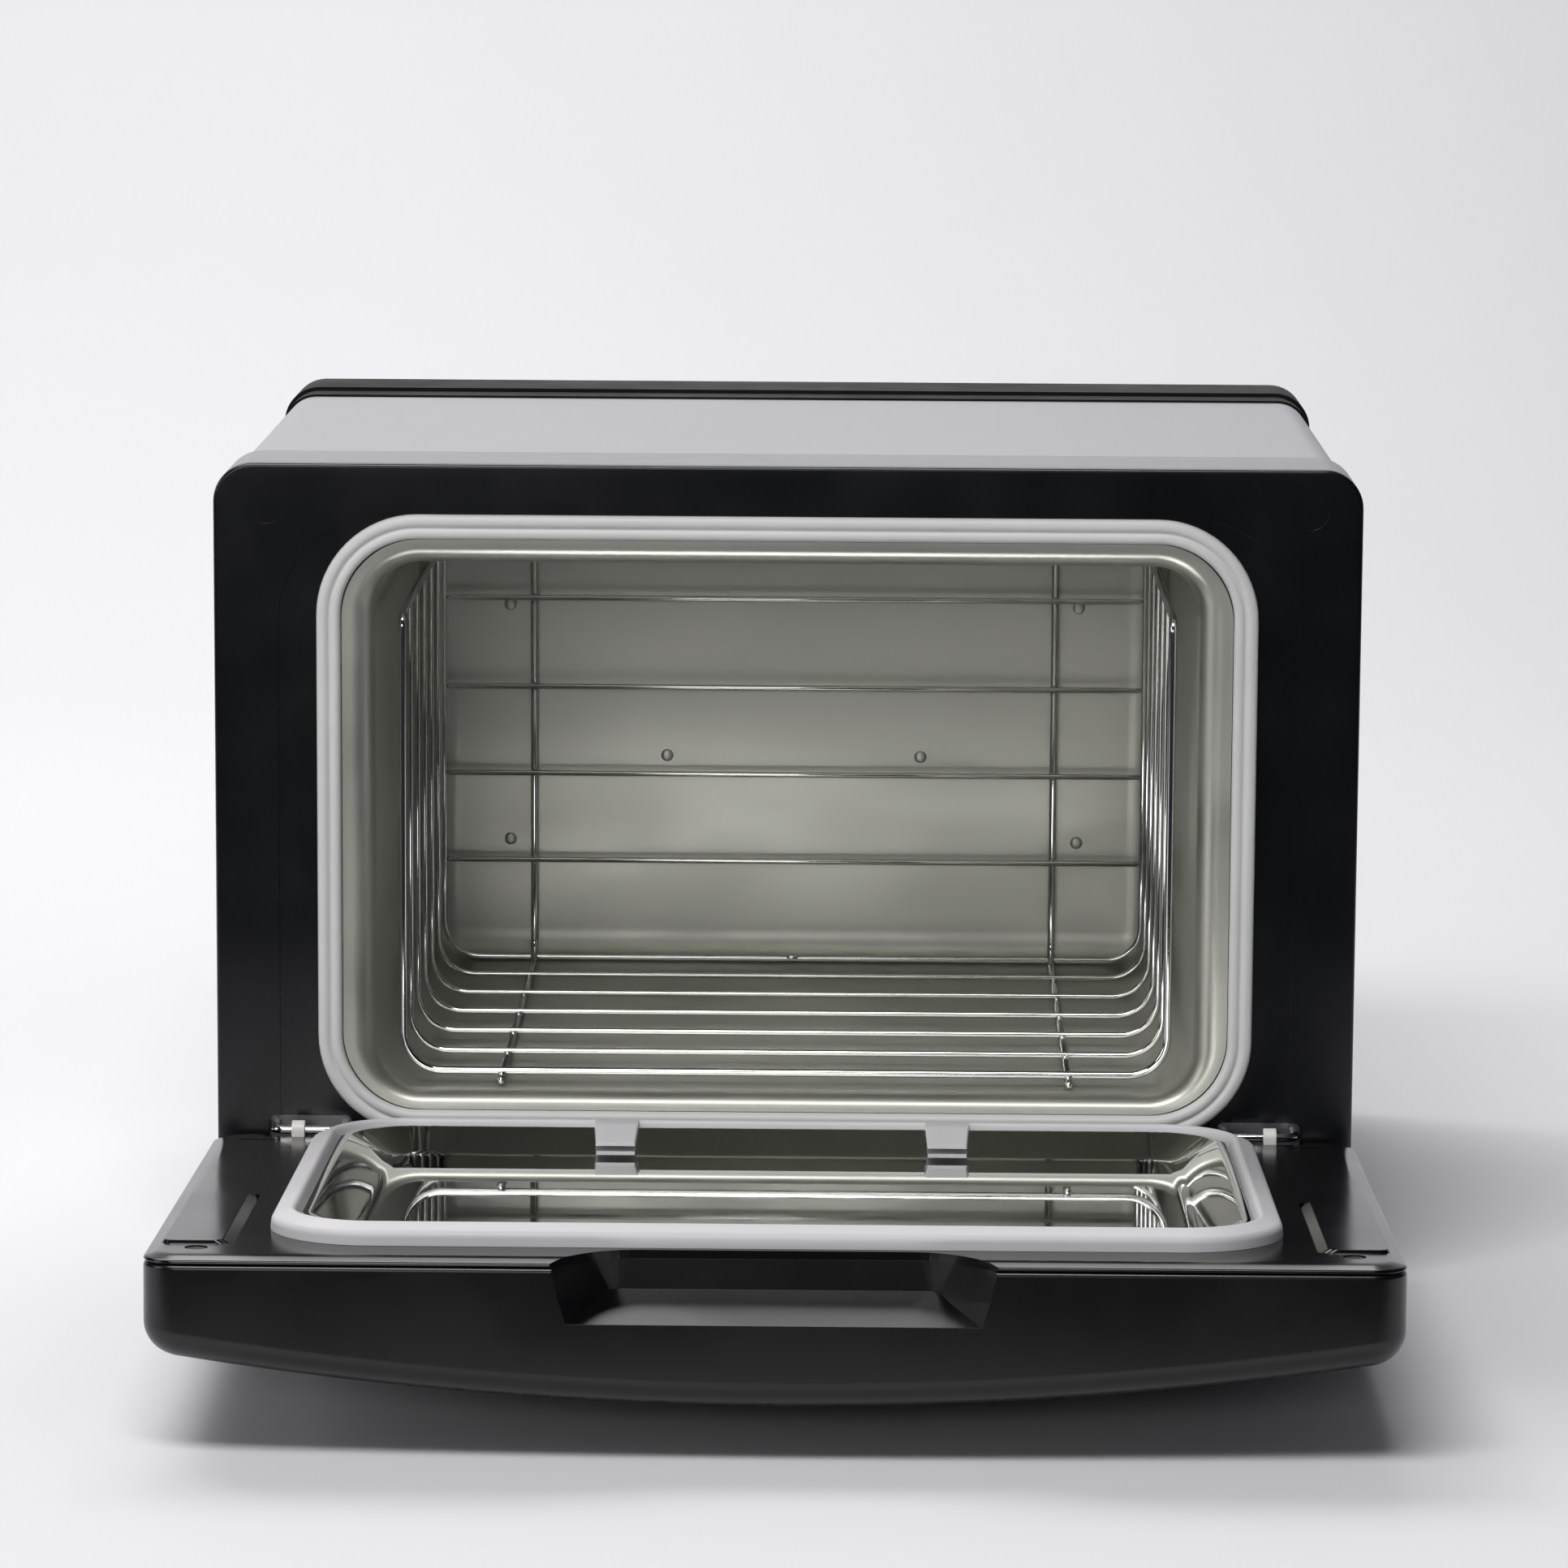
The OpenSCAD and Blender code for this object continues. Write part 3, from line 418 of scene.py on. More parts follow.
def skin(bm, rings, closed=False):
    """Joins each ring of points to the next, and the last to the first if closed."""
    for a, b in zip(rings, rings[1:] + (rings[:1] if closed else [])):
        for i in range(len(a)):
            j = (i + 1) % len(a)
            bm.faces.new((a[i], a[j], b[j], b[i]))


def cap(bm, *rings):
    """Closes each ring of points with one face."""
    for ring in rings:
        bm.faces.new(ring)


def loft(bm, sections, place, closed=False, arc=8, along=10):
    """Skins a row of rounded rectangles (w, h, r, middle, depth and a shift across)."""
    rings = []
    for w, h, r, mid, d, *shift in sections:
        x0 = shift[0] if shift else 0
        rings.append([bm.verts.new(place @ Vector((x + x0, y + mid, d)))
                      for x, y in outline(w, h, r, arc, along)])
    skin(bm, rings, closed)
    if not closed:
        cap(bm, rings[0], rings[-1])


def ring_sections(w, h, r, mid, profile):
    """Sections from a profile of (growth outwards, depth) around a base outline."""
    return [(w + 2 * g, h + 2 * g, max(r + g, 0.3), mid, d) for g, d in profile]


def tube(bm, path, radius, place, sides=14):
    """Sweeps a circle along a path of points; each end narrows to a short wedge."""
    points = [Vector(p) for p in path]
    first = (points[0] - points[1]).normalized()
    last = (points[-1] - points[-2]).normalized()
    points = [points[0], *points, points[-1]]
    final = len(points) - 1
    tangents = []
    for i, p in enumerate(points):
        before, after = points[max(i - 1, 0)], points[min(i + 1, final)]
        tangents.append(((p - before).normalized() + (after - p).normalized()).normalized())
    side = tangents[1].orthogonal().normalized()
    rings = []
    for i, (p, t) in enumerate(zip(points, tangents)):
        side = (side - t * side.dot(t)).normalized()
        other = t.cross(side)
        r = radius * (END_NARROWING if i in (0, final) else 1)
        if i == 1:
            p = p - first * radius * END_LENGTH
        if i == final - 1:
            p = p - last * radius * END_LENGTH
        rings.append([bm.verts.new(place @ (p + (side * math.cos(a) + other * math.sin(a)) * r))
                      for a in (2 * math.pi * k / sides for k in range(sides))])
    skin(bm, rings)
    cap(bm, rings[0], rings[-1])


def bends(points, radius, steps=8):
    """A path through the points with true round bends of one radius."""
    points = [Vector(p) for p in points]
    out = [points[0]]
    for before, here, after in zip(points, points[1:], points[2:]):
        u, v = (before - here).normalized(), (after - here).normalized()
        angle = u.angle(v)
        cutoff = radius / math.tan(angle / 2)
        centre = here + (u + v).normalized() * radius / math.sin(angle / 2)
        a, b = here + u * cutoff - centre, here + v * cutoff - centre
        for k in range(steps + 1):
            t = k / steps
            sweep = math.pi - angle
            out.append(centre + a * (math.sin((1 - t) * sweep) / math.sin(sweep))
                       + b * (math.sin(t * sweep) / math.sin(sweep)))
    out.append(points[-1])
    return out


def lump(bm, centre, radius, place, scale=(1, 1, 1)):
    """A small rounded bead."""
    matrix = place @ Matrix.Translation(centre) @ Matrix.Diagonal((*scale, 1))
    bmesh.ops.create_uvsphere(bm, u_segments=12, v_segments=8, radius=radius, matrix=matrix)


def slab_cutter(w, h, r, mid, d0, d1, place, x=0.0, soft=0.0):
    """A mesh object that cuts a rounded block; soft spreads its mouth at depth d0."""
    bm = bmesh.new()
    shift = place @ Matrix.Translation((x, 0, 0))
    loft(bm, [(w + 2 * soft, h + 2 * soft, r + soft, mid, d0), (w, h, r, mid, d0 + (d1 - d0) * 0.5),
              (w, h, r, mid, d1)], shift, arc=10, along=1)
    return cutter_object(bm)


def cutter_object(bm):
    """A helper object that is used up by carve()."""
    bmesh.ops.recalc_face_normals(bm, faces=bm.faces)
    mesh = bpy.data.meshes.new("cutter")
    for face in bm.faces:
        face.smooth = True
    bm.to_mesh(mesh)
    bm.free()
    obj = bpy.data.objects.new("cutter", mesh)
    bpy.context.scene.collection.objects.link(obj)
    return obj


def carve(obj, cutters, edge=0.3, angle=30):
    """Cuts the helpers out of a piece, then rounds what edges are still sharp."""
    for cutter in cutters:
        m = obj.modifiers.new("cut", "BOOLEAN")
        m.operation, m.solver, m.object = "DIFFERENCE", "EXACT", cutter
    if edge:
        m = obj.modifiers.new("round", "BEVEL")
        m.width, m.segments, m.limit_method = edge * MM, 3, "ANGLE"
        m.angle_limit = math.radians(angle)
        m.use_clamp_overlap = True
    m = obj.modifiers.new("flat", "WEIGHTED_NORMAL")
    m.keep_sharp, m.weight = True, 100
    bpy.context.view_layer.update()
    graph = bpy.context.evaluated_depsgraph_get()
    mesh = bpy.data.meshes.new_from_object(obj.evaluated_get(graph))
    obj.modifiers.clear()
    obj.data = mesh
    for cutter in cutters:
        bpy.data.objects.remove(cutter)
    return obj


def from_cad(cad, slot, body, edge=0.3):
    """A piece with the CAD node's own shape, with its sharp edges rounded."""
    bm = bmesh.new()
    bm.from_mesh(frame["nodes"][cad].data)
    bmesh.ops.remove_doubles(bm, verts=bm.verts, dist=2e-6)
    bmesh.ops.dissolve_limit(bm, angle_limit=math.radians(1), verts=bm.verts, edges=bm.edges)
    obj = finish_piece(bm, cad + "_skin", slot, body, [cad])
    return carve(obj, [], edge=edge, angle=35) if edge else obj


class PieceOperator(bpy.types.Operator):
    """Shared behaviour of the operators that build pieces."""
    bl_options = {"REGISTER", "UNDO"}

    def execute(self, context):
        self.build(context.scene.towel_sizes)
        return {"FINISHED"}


class TOWEL_OT_case(PieceOperator):
    """Builds the bezel, the rim, the steel wrap, the rear cover, the base and the feet."""
    bl_idname = "towel.case"
    bl_label = "Case"

    def build(self, sizes):
        bm = bmesh.new()
        rim = soften([(-0.25, 2.8, 0), (-0.05, 3.0, 0.2), (0, 4.0, 0.5), (0, 37.6, 0.9),
                      (-1.7, 37.6, 0.2), (-1.7, 10, 0), (-9.7, 10, 0), (-9.7, 2.8, 0)])
        loft(bm, ring_sections(CASE_W, CASE_H, 12, CASE_MID, rim), STAND, closed=True, arc=12,
             along=2)
        finish_piece(bm, "front_rim_skin", "rim_plastic", "cabinet", ["front_rim"])
        self.bezel(sizes.edge)
        for cad, slot, edge in (("outer_shell", "case_paint", 0),
                                ("rear_cover", "rear_plastic", 0.5),
                                ("base_pan", "zinc_steel", 0), ("feet", "foot_rubber", 0.6)):
            from_cad(cad, slot, "cabinet", edge)

    def bezel(self, edge):
        """A black face with a sunk field, the mouth, hinge pockets, dimples and fine lines."""
        bm = bmesh.new()
        face = soften([(0, BEZEL_T, 0), (0, 0, edge), (-4, 0, 0)])
        loft(bm, ring_sections(CASE_W, CASE_H, 12, CASE_MID, face), STAND, arc=12, along=2)
        bezel = finish_piece(bm, "front_bezel_skin", "black_plastic", "cabinet", ["front_bezel"])
        cuts = [slab_cutter(FIELD_W, FIELD_H, 33, FIELD_TOP - FIELD_H / 2, -1, 0.5, STAND),
                slab_cutter(LIP_W + 0.2, LIP_H + 0.2, 24.2, LIP_MID, -2, 5, STAND)]
        for s in (-1, 1):
            cuts.append(slab_cutter(POCKET_W, 10, 2.2, -0.5, -1, 4, STAND, x=s * HINGE_X))
            cuts.append(slab_cutter(11, 11, 5.4, 193.9, -0.4, 0.35, STAND, x=s * 159, soft=1.2))
            cuts.append(slab_cutter(1.6, 60, 0.7, 78, -0.2, 0.15, STAND, x=s * 151.6))
        carve(bezel, cuts, edge=0.28)


class TOWEL_OT_cavity(PieceOperator):
    """Builds the deep-drawn liner, the rivet heads and the cabinet's silicone ring."""
    bl_idname = "towel.cavity"
    bl_label = "Cavity"

    def build(self, sizes):
        lip = (LIP_W - 0.4, LIP_H - 0.4, 24, LIP_MID)
        wall = (CAVITY_W, CAVITY_H, CAVITY_R, CAVITY_MID)

        def between(t, d, grow=0.0):
            w, h, r, mid = (a + (b - a) * t for a, b in zip(lip, wall))
            return (w + 2 * grow, h + 2 * grow, r + grow, mid, d)
        sheet, fillet, roll = 0.7, 13, 8
        quarter = [math.radians(90 * k / 8) for k in range(9)]
        outside = [between(1, CAVITY_D - fillet + (fillet + sheet) * math.sin(a),
                           (fillet + sheet) * math.cos(a) - fillet) for a in reversed(quarter)]
        outside += [between(0.3 + 0.7 * math.sin(a), sheet + (roll - sheet) * (1 - math.cos(a)),
                            sheet * math.sin(a)) for a in reversed(quarter)]
        outside.append(between(0, sheet))
        inside = [between(0, 0)]
        inside += [between(0.3 + 0.7 * math.sin(a), roll * (1 - math.cos(a))) for a in quarter]
        inside += [between(1, CAVITY_D - fillet + fillet * math.sin(a),
                           -fillet * (1 - math.cos(a))) for a in quarter]
        bm = bmesh.new()
        loft(bm, outside + inside, STAND, arc=14, along=6)
        liner = finish_piece(bm, "cavity_liner_skin", "liner_aluminium", "cabinet",
                             ["cavity_liner"], sharp=50)
        self.dimples()
        floor = Matrix.Translation((0, FRONT_Y * MM, (HINGE_Z + FLOOR) * MM)) @ Matrix.Scale(MM, 4)
        cuts = [slab_cutter(55, 176, 9, 114, 1, -0.3, floor, x=s * 53) for s in (-1, 1)]
        carve(liner, cuts, edge=0)
        profile = soften([(0, 0.4, 0), (0.1, -2.2, 0.8), (0.9, -3.1, 0.7), (2.5, -3.1, 0.8),
                          (3.4, -2.1, 0.7), (4.3, -3.0, 0.7), (5.4, -3.2, 0.7), (6.9, -2.7, 0.9),
                          (7.4, -1.4, 0.6), (7.4, 0.4, 0)], steps=4)
        bm = bmesh.new()
        loft(bm, ring_sections(LIP_W, LIP_H, 23.6, LIP_MID, profile), STAND, closed=True, arc=16,
             along=2)
        finish_piece(bm, "cavity_seal_skin", "seal_silicone", "cabinet", ["cavity_seal"], sharp=70)

    def dimples(self):
        """Rivet heads on the back wall and two dimples on the floor."""
        bm = bmesh.new()
        for x, z in RIVETS:
            for s in (-1, 1):
                lump(bm, (s * x, CAVITY_D, z), 2.1, CABINET, (1, 0.32, 1))
        for s in (-1, 1):
            lump(bm, (s * 89, 18.8, FLOOR), 1.6, CABINET, (1, 1, 0.35))
        finish_piece(bm, "liner_rivet_heads", "liner_aluminium", "cabinet", ["liner_rivets"])


class TOWEL_OT_basket(PieceOperator):
    """Bends the basket's wires: front wire with rails, U wires, runners and back wires."""
    bl_idname = "towel.basket"
    bl_label = "Basket"

    def build(self, sizes):
        low, high = size_mm("basket_front_wire")
        runner, wire = sizes.runner / 2, sizes.wire / 2
        half = high.x - runner
        front = low.y + runner - FRONT_Y
        floor = low.z + runner - HINGE_Z
        rail = size_mm("basket_rails")[1].z - runner - HINGE_Z
        back = size_mm("basket_back_wires")[0].y + wire - FRONT_Y
        legs = size_mm("basket_u_wires")[0].z + wire - HINGE_Z
        run_low, run_high = size_mm("basket_runners")
        bm = bmesh.new()
        tube(bm, self.hoop(half, front, back, rail, floor), runner, CABINET, sides=18)
        finish_piece(bm, "basket_front_hoop", "chrome_wire", "basket",
                     ["basket_front_wire", "basket_rails"], sharp=60)
        bm = bmesh.new()
        top = rail - runner + 0.2
        for i in range(1, U_WIRES + 1):
            y = front + (back - front) * i / U_WIRES
            tube(bm, bends([(-half, y, top), (-half, y, legs), (half, y, legs), (half, y, top)], 12,
                           10), wire, CABINET, sides=14)
        lump(bm, (0, back, legs + 0.3), 1.25, CABINET, (2.4, 1, 0.9))
        finish_piece(bm, "basket_u_wires_skin", "chrome_wire", "basket", ["basket_u_wires"],
                     sharp=60)
        bm = bmesh.new()
        x = run_high.x - runner
        y0, y1 = run_low.y - FRONT_Y, run_high.y - runner - FRONT_Y
        z0, z1 = run_low.z + runner - HINGE_Z, run_high.z - HINGE_Z
        for s in (-1, 1):
            tube(bm, bends([(s * x, y0, z0), (s * x, y1, z0), (s * x, y1, z1)], 8), runner, CABINET,
                 sides=16)
            for i in range(U_WIRES + 1):
                y = front + (back - front) * i / U_WIRES
                lump(bm, (s * x, y, z0 + runner), WELD_R, CABINET, (1.1, 1.3, 0.75))
            for z in BACK_WIRE_HEIGHTS:
                lump(bm, (s * x, y1 - runner, z), WELD_R, CABINET, (1.2, 0.8, 1.2))
        finish_piece(bm, "basket_runners_skin", "chrome_wire", "basket", ["basket_runners"],
                     sharp=60)
        bm = bmesh.new()
        for z in BACK_WIRE_HEIGHTS:
            tube(bm, [(-half + wire, back, z), (0, back, z), (half - wire, back, z)], wire, CABINET)
        finish_piece(bm, "basket_back_wires_skin", "chrome_wire", "basket", ["basket_back_wires"],
                     sharp=60)

    def hoop(self, half, front, back, rail, floor):
        """The hoop's path: wide bends at the floor, tight ones where it turns into the rails."""
        out = []
        for s in (-1, 1):
            top = bends([(s * half, back, rail), (s * half, front, rail),
                         (s * half, front, rail - 40)], 4, 6)
            low = bends([(s * half, front, rail - 41), (s * half, front, floor), (0, front, floor)],
                        12, 10)
            side = top + low[1:-1]
            out += side if s < 0 else list(reversed(side))
        return out


def door_front(sizes, x):
    """Height of the door's curved front below its inner face, at a place across the door."""
    r = sizes.front_radius
    return r - sizes.door_bulge - math.sqrt(r * r - x * x)


def notch_cutter():
    """The finger notch: a pocket that opens at the door's end and its inner face."""
    back, front = DOOR_FAR - 16, DOOR_FAR + 3
    bm = bmesh.new()
    rings = []
    for h, wide, narrow, round_off, v in ((3.0, 66.4, 46.8, 11, back),
                                          (-11.0, 62.6, 44.8, 2, back + 0.4)):
        plan = soften([(wide, front, 0), (narrow, v, round_off), (-narrow, v, round_off),
                       (-wide, front, 0)], steps=6)
        rings.append([bm.verts.new(DOOR @ Vector((p[0], p[1], h))) for p in plan])
    for i in range(len(rings[0]) - 1):
        bm.faces.new((rings[0][i], rings[0][i + 1], rings[1][i + 1], rings[1][i]))
    bm.faces.new(rings[0])
    left, right = rings[1][0], rings[1][-1]
    step = [bm.verts.new(DOOR @ Vector((x, back + 5.5, -13.2))) for x in (48.6, -48.6)]
    lip = [bm.verts.new(DOOR @ Vector((x, front, -19.6))) for x in (60.0, -60.0)]
    bm.faces.new((*rings[1][1:-1], step[1], step[0]))
    bm.faces.new((step[0], step[1], lip[1], lip[0]))
    bm.faces.new((left, rings[1][1], step[0], lip[0]))
    bm.faces.new((right, rings[1][-2], step[1], lip[1]))
    bm.faces.new((rings[0][0], rings[0][-1], right, lip[1], lip[0], left))
    bmesh.ops.triangulate(bm, faces=bm.faces)
    return cutter_object(bm)


class TOWEL_OT_door(PieceOperator):
    """Builds the door's curved front shell and its inner frame."""
    bl_idname = "towel.door"
    bl_label = "Door"

    def build(self, sizes):
        length_v = DOOR_FAR - DOOR_NEAR
        mid = (DOOR_NEAR + DOOR_FAR) / 2
        fillet, top = sizes.front_fillet, -PANEL_T
        bm = bmesh.new()
        rings = []
        for g, d in ((-3.0, top), (-1.6, top), (-1.0, top - 0.12), (-0.45, top - 0.45),
                     (-0.12, top - 0.95), (0.0, top - 1.6)):
            rings.append((g, d, False))
        for k in range(0, 9):
            a = math.radians(90 * k / 8)
            rings.append((-fillet * (1 - math.cos(a)), fillet * (1 - math.sin(a)), True))
        for g in (-14, -24, -38, -54, -70, -86, -96):
            rings.append((g, 0.0, True))
        loops = []
        for g, d, follows in rings:
            ring = []
            for x, y in outline(CASE_W + 2 * g, length_v + 2 * g, DOOR_R + g, 10, 24):
                h = d + (door_front(sizes, x) if follows else 0)
                ring.append(bm.verts.new(DOOR @ Vector((x, y + mid, h))))
            loops.append(ring)
        skin(bm, loops)
        cap(bm, loops[0])
        last = 2 * rings[-1][0]
        self.ridge(bm, loops[-1], CASE_W + last, length_v + last, mid, sizes)
        shell = finish_piece(bm, "door_front_shell", "door_plastic", "door", ["door_outer_shell"])
        carve(shell, [notch_cutter()], edge=0.5, angle=32)
        self.inner(length_v, mid)

    def ridge(self, bm, ring, w, h, mid, sizes):
        """Closes the last outline of the curved front along a line of points on the curve."""
        reach = w / 2 - 8
        across = [round(min(max(x, -reach), reach), 3) for x, _ in outline(w, h, 0, 10, 24)]
        line = {x: bm.verts.new(DOOR @ Vector((x, mid, door_front(sizes, x))))
                for x in set(across)}
        for i, vert in enumerate(ring):
            j = (i + 1) % len(ring)
            a, b = line[across[i]], line[across[j]]
            bm.faces.new((vert, ring[j], a) if a is b else (vert, ring[j], b, a))

    def inner(self, length_v, mid):
        """The glossy inner frame, with the tray's opening and a pad over each magnet."""
        bm = bmesh.new()
        plate = soften([(-1.4, -PANEL_T, 0), (-0.5, -PANEL_T, 0), (-0.5, -2.1, 0), (0, -2.1, 0.2),
                        (-0.2, -1.3, 0.6), (-4.2, -0.05, 1.4), (-8, 0, 0)], steps=5)
        loft(bm, ring_sections(CASE_W, length_v, DOOR_R, mid, plate), DOOR, arc=10, along=4)
        panel = finish_piece(bm, "door_inner_frame", "black_plastic", "door", ["door_inner_panel"])
        cuts = [slab_cutter(TRAY_W - 3, TRAY_L - 3, 20, GASKET_MID, 2, -6, DOOR)]
        for s in (-1, 1):
            cuts.append(slab_cutter(27, 2 * (AXIS_V + 5), 2, 0, 2, -1.5, DOOR, x=s * HINGE_X))
            cuts.append(slab_cutter(6.5, 6.5, 3.2, 202, 2, -1.2, DOOR, x=s * 160.8))
            cuts.append(slab_cutter(PAD_W + 0.3, PAD_L + 0.3, 2.2, PAD_V, 2, -1.1, DOOR,
                                    x=s * PAD_X))
            cuts.append(slab_cutter(13, 1.6, 0.7, 19, 1, -0.35, DOOR, x=s * 160.5))
        cuts.append(notch_cutter())
        carve(panel, cuts, edge=0.25, angle=28)
        panel.data.materials[0] = finishes()["polished_plastic"]
        for s, side in ((1, "left"), (-1, "right")):
            bm = bmesh.new()
            pad = [(PAD_W, PAD_L, 2, PAD_V, -1.0, 0), (16.7, 78.6, 2.5, PAD_V, 0.72, s * 1.34),
                   (16.1, 78, 2.5, PAD_V, 0.8, s * 1.5)]
            loft(bm, pad, DOOR @ Matrix.Translation((s * PAD_X, 0, 0)), along=2)
            pad_piece = finish_piece(bm, "door_magnet_pad_" + side, "door_plastic", "door", [],
                                     sharp=8)
            pad_piece.data.materials[0] = finishes()["polished_plastic"]


class TOWEL_OT_door_lining(PieceOperator):
    """Builds the door's silicone ring with its two drip tongues and the mirror tray."""
    bl_idname = "towel.door_lining"
    bl_label = "Door ring and tray"

    def build(self, sizes):
        inner_w, inner_l = TRAY_W + 0.6, TRAY_L + 0.6
        profile = soften([(0, 0.05, 0), (0.5, 2.6, 0.5), (1.5, 5.7, 0.9), (2.6, 6.15, 0.7),
                          (4.6, 5.2, 1.0), (7.3, 4.1, 0.9), (8.2, 2.9, 0.7), (8.4, 0.05, 0)],
                         steps=4)
        bm = bmesh.new()
        loft(bm, ring_sections(inner_w, inner_l, 21.6, GASKET_MID, profile), DOOR, closed=True,
             arc=16, along=2)
        finish_piece(bm, "door_gasket_skin", "gasket_silicone", "door", ["door_gasket"], sharp=70)
        self.tongues(inner_l)
        slope, sink, lip = sizes.tray_slope, 2.2, 4.4
        pan = [(-slope - 3.2, -sink - 0.55, 0), (-slope - 2.4, -sink - 0.55, 0.4),
               (-3.2, lip - 0.6, 0.3), (-0.6, lip - 0.6, 0), (-0.6, 0.15, 0), (0, 0.15, 0),
               (0, lip, 0.7), (-2.5, lip, 0.7), (-slope - 2.5, -sink, 2.2), (-slope - 12, -sink, 0)]
        bm = bmesh.new()
        sections = ring_sections(TRAY_W, TRAY_L, 22, GASKET_MID, soften(pan, steps=6))
        loft(bm, sections, DOOR, arc=14, along=2)
        finish_piece(bm, "door_tray_skin", "mirror_steel", "door", ["door_tray"], sharp=50)

    def tongues(self, inner_l):
        """Two short flaps that lead drips from the ring over the tray's rim."""
        start_v = GASKET_MID - inner_l / 2 - 1.5
        line = soften([(start_v, 5.2, 0), (start_v + 2.6, 5.3, 1.0), (start_v + 5.4, 4.9, 1.2),
                       (start_v + 14.6, 0.35, 0)], steps=4)
        for name, x in TONGUES:
            bm = bmesh.new()
            rows = []
            for k, (v, h) in enumerate(line):
                t = k / (len(line) - 1)
                half = TONGUE_HALF - (0.8 * max(0, t - 0.85) / 0.15)
                rows.append([bm.verts.new(DOOR @ Vector(p)) for p in (
                    (-x - half, v, h), (-x - half + 0.3, v, h + TONGUE_T),
                    (-x + half - 0.3, v, h + TONGUE_T), (-x + half, v, h))])
            skin(bm, rows)
            cap(bm, rows[0], rows[-1])
            finish_piece(bm, "gasket_tongue_" + name, "gasket_silicone", "door", [], sharp=60)


class TOWEL_OT_hinges(PieceOperator):
    """Builds the wire staples, the nylon clips and the door's two screws."""
    bl_idname = "towel.hinges"
    bl_label = "Hinges"

    def build(self, sizes):
        y, z = AXIS_Y, AXIS.z - HINGE_Z
        for side, s in (("left", -1), ("right", 1)):
            bm = bmesh.new()
            inner, outer = s * (HINGE_X - STAPLE_HALF), s * (HINGE_X + STAPLE_HALF)
            path = bends([(inner, STAPLE_DEEP, z), (inner, y, z), (outer, y, z),
                          (outer, STAPLE_DEEP, z)], 3)
            tube(bm, path, STAPLE_R, CABINET, sides=16)
            finish_piece(bm, "hinge_staple_" + side + "_skin", "chrome_wire", "cabinet",
                         ["hinge_staple_" + side], sharp=60)
            from_cad("hinge_clip_" + side, "white_nylon", "door", 0.3)
        from_cad("door_screws", "black_screw", "door", 0.15)


class TOWEL_OT_controls(PieceOperator):
    """Builds the power switch, the pilot lamp, the cord inlet and the rear screws."""
    bl_idname = "towel.controls"
    bl_label = "Controls"

    def build(self, sizes):
        from_cad("switch_housing", "black_plastic", "cabinet", 0.4)
        from_cad("switch_rocker", "rocker_plastic", "rocker", 0.4)
        from_cad("pilot_lamp", "lamp_lens", "cabinet", 0.5)
        from_cad("cord_gland", "black_plastic", "cabinet", 0.6)
        from_cad("rear_cover_screws", "black_screw", "cabinet", 0.2)


class TOWEL_OT_inside(PieceOperator):
    """Gives the working parts behind the panels their finishes."""
    bl_idname = "towel.inside"
    bl_label = "Inside"

    def build(self, sizes):
        slots = {s["node"]: s["material_slot"] for s in frame["record"]["subparts"]}
        made = finishes()
        for name, obj in frame["nodes"].items():
            obj.data.materials.clear()
            obj.data.materials.append(made[slots[name]])


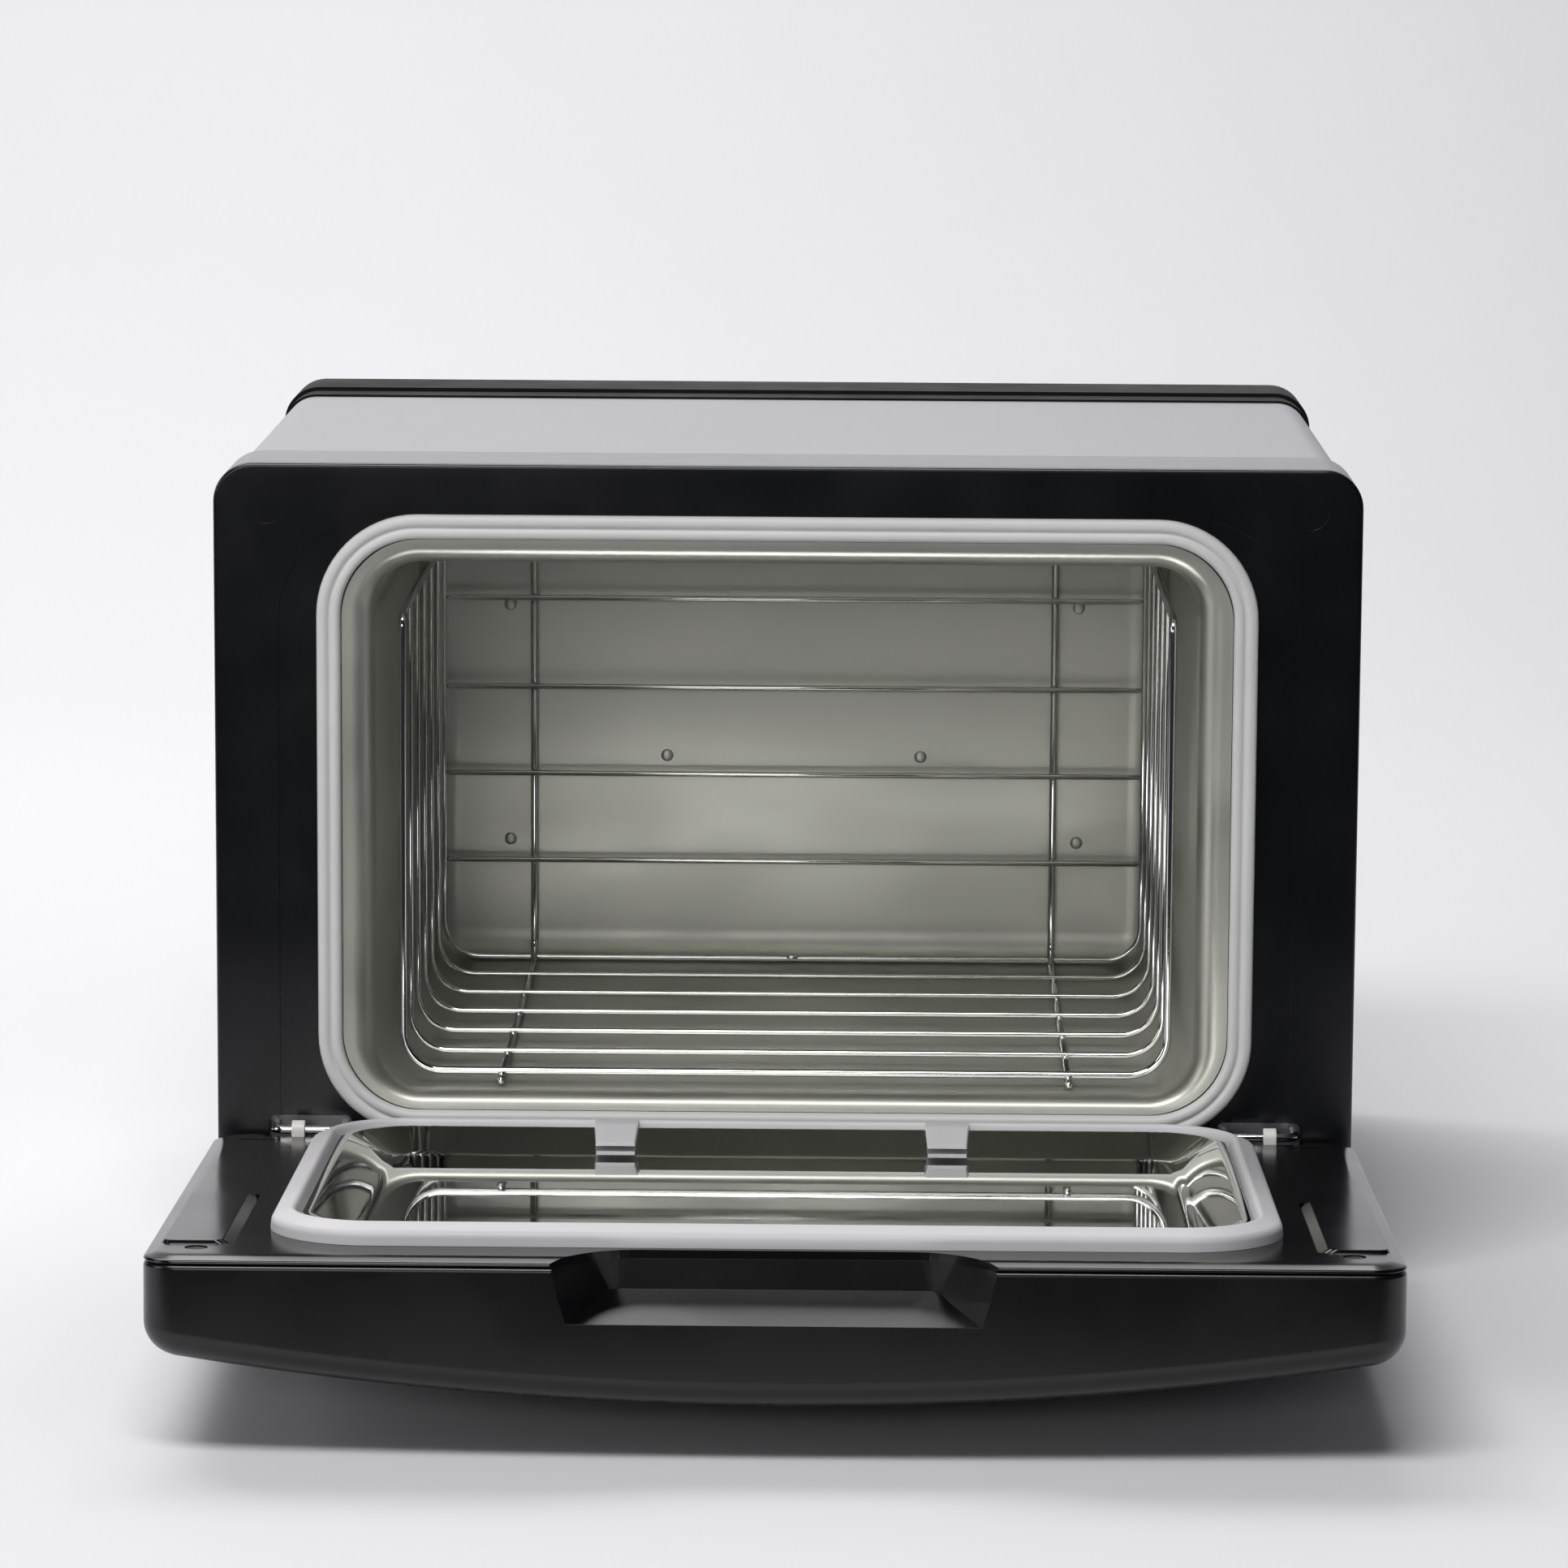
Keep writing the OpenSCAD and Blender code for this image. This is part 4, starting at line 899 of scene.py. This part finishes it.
class TOWEL_OT_stage(PieceOperator):
    """Builds the floor and backdrop, the soft lights and the camera."""
    bl_idname = "towel.stage"
    bl_label = "Stage"

    def build(self, sizes):
        scene = bpy.context.scene
        bm = bmesh.new()
        sweep = soften([(-0.52, 0, 0), (1.9, 0, 0.9), (1.9, 2.6, 0)], steps=16)
        rows = [[bm.verts.new((x, p[0], p[1])) for x in (-2.6, 2.6)] for p in sweep]
        for a, b in zip(rows, rows[1:]):
            bm.faces.new((a[0], a[1], b[1], b[0]))
        mesh = bpy.data.meshes.new("backdrop")
        bm.to_mesh(mesh)
        bm.free()
        backdrop = bpy.data.objects.new("backdrop", mesh)
        scene.collection.objects.link(backdrop)
        for face in mesh.polygons:
            face.use_smooth = True
        mesh.materials.append(paper(linear("#eeeff3")))
        self.lights(scene)
        self.camera(scene)

    def lights(self, scene):
        """A large soft top light, a wash on the backdrop and three weaker fills."""
        world = bpy.data.worlds.new("studio")
        scene.world = world
        world.use_nodes = True
        back = world.node_tree.nodes["Background"]
        back.inputs["Color"].default_value = (*linear("#dfe3f0"), 1)
        back.inputs["Strength"].default_value = 0.03
        scene.view_settings.view_transform = "Standard"
        for name, place, aim, size, power in (
                ("top_softbox", (-0.4, 1.0, 1.75), (0, 0.0, 0), (1.8, 0.9), 22),
                ("backdrop_wash", (-1.1, 0.7, 1.6), (-0.5, 1.9, 0.6), (1.2, 0.5), 8),
                ("left_softbox", (-1.9, -0.9, 0.8), (0, 0, 0.1), (0.9, 1.0), 6),
                ("high_fill", (-0.3, -1.2, 1.7), (0, 0, 0.1), (1.2, 0.5), 23),
                ("front_fill", (-0.4, -2.3, 0.62), (0, 0, 0.12), (0.9, 0.36), 5)):
            lamp = bpy.data.lights.new(name, "AREA")
            lamp.shape, lamp.size, lamp.size_y, lamp.energy = "RECTANGLE", *size, power
            lamp.color = linear("#fffdfc")
            obj = bpy.data.objects.new(name, lamp)
            scene.collection.objects.link(obj)
            obj.location = place
            obj.rotation_euler = (Vector(aim) - Vector(place)).to_track_quat("-Z", "Y").to_euler()

    def camera(self, scene):
        """A long lens in front, looking a little down into the cavity."""
        yaw, pitch, roll = (math.radians(a) for a in CAMERA_TURN)
        forward = Vector((math.sin(yaw) * math.cos(pitch), math.cos(yaw) * math.cos(pitch),
                          -math.sin(pitch)))
        right = Vector((math.cos(yaw), -math.sin(yaw), 0))
        up = right.cross(forward)
        side = right * math.cos(roll) + up * math.sin(roll)
        top = up * math.cos(roll) - right * math.sin(roll)
        camera = bpy.data.cameras.new("front_camera")
        camera.sensor_width, camera.lens = 36, CAMERA_LENS
        camera.clip_end = 50
        obj = bpy.data.objects.new("front_camera", camera)
        place = CABINET @ Vector(CAMERA_PLACE)
        obj.matrix_world = Matrix.Translation(place) @ Matrix(
            (side, top, -forward)).transposed().to_4x4()
        scene.collection.objects.link(obj)
        scene.camera = obj


PIECES = (TOWEL_OT_inside, TOWEL_OT_case, TOWEL_OT_cavity, TOWEL_OT_basket, TOWEL_OT_door,
          TOWEL_OT_door_lining, TOWEL_OT_hinges, TOWEL_OT_controls, TOWEL_OT_stage)


class TOWEL_PT_panel(bpy.types.Panel):
    """Lists the sizes, the colours and the pieces."""
    bl_idname = "TOWEL_PT_panel"
    bl_label = "Towel cabinet"
    bl_space_type = "VIEW_3D"
    bl_region_type = "UI"
    bl_category = "Towel cabinet"

    def draw(self, context):
        scene = context.scene
        for group, kind in ((scene.towel_sizes, TowelSizes), (scene.towel_colours, TowelColours)):
            box = self.layout.box()
            for key in kind.__annotations__:
                box.prop(group, key)
        for piece in PIECES:
            self.layout.operator(piece.bl_idname)


def register():
    for kind in (TowelSizes, TowelColours, *PIECES, TOWEL_PT_panel):
        bpy.utils.register_class(kind)
    bpy.types.Scene.towel_sizes = bpy.props.PointerProperty(type=TowelSizes)
    bpy.types.Scene.towel_colours = bpy.props.PointerProperty(type=TowelColours)


def unregister():
    del bpy.types.Scene.towel_colours
    del bpy.types.Scene.towel_sizes
    for kind in (TOWEL_PT_panel, *reversed(PIECES), TowelColours, TowelSizes):
        bpy.utils.unregister_class(kind)


def main():
    register()
    for piece in PIECES:
        group, name = piece.bl_idname.split(".")
        getattr(getattr(bpy.ops, group), name)()


if __name__ == "__main__":
    main()
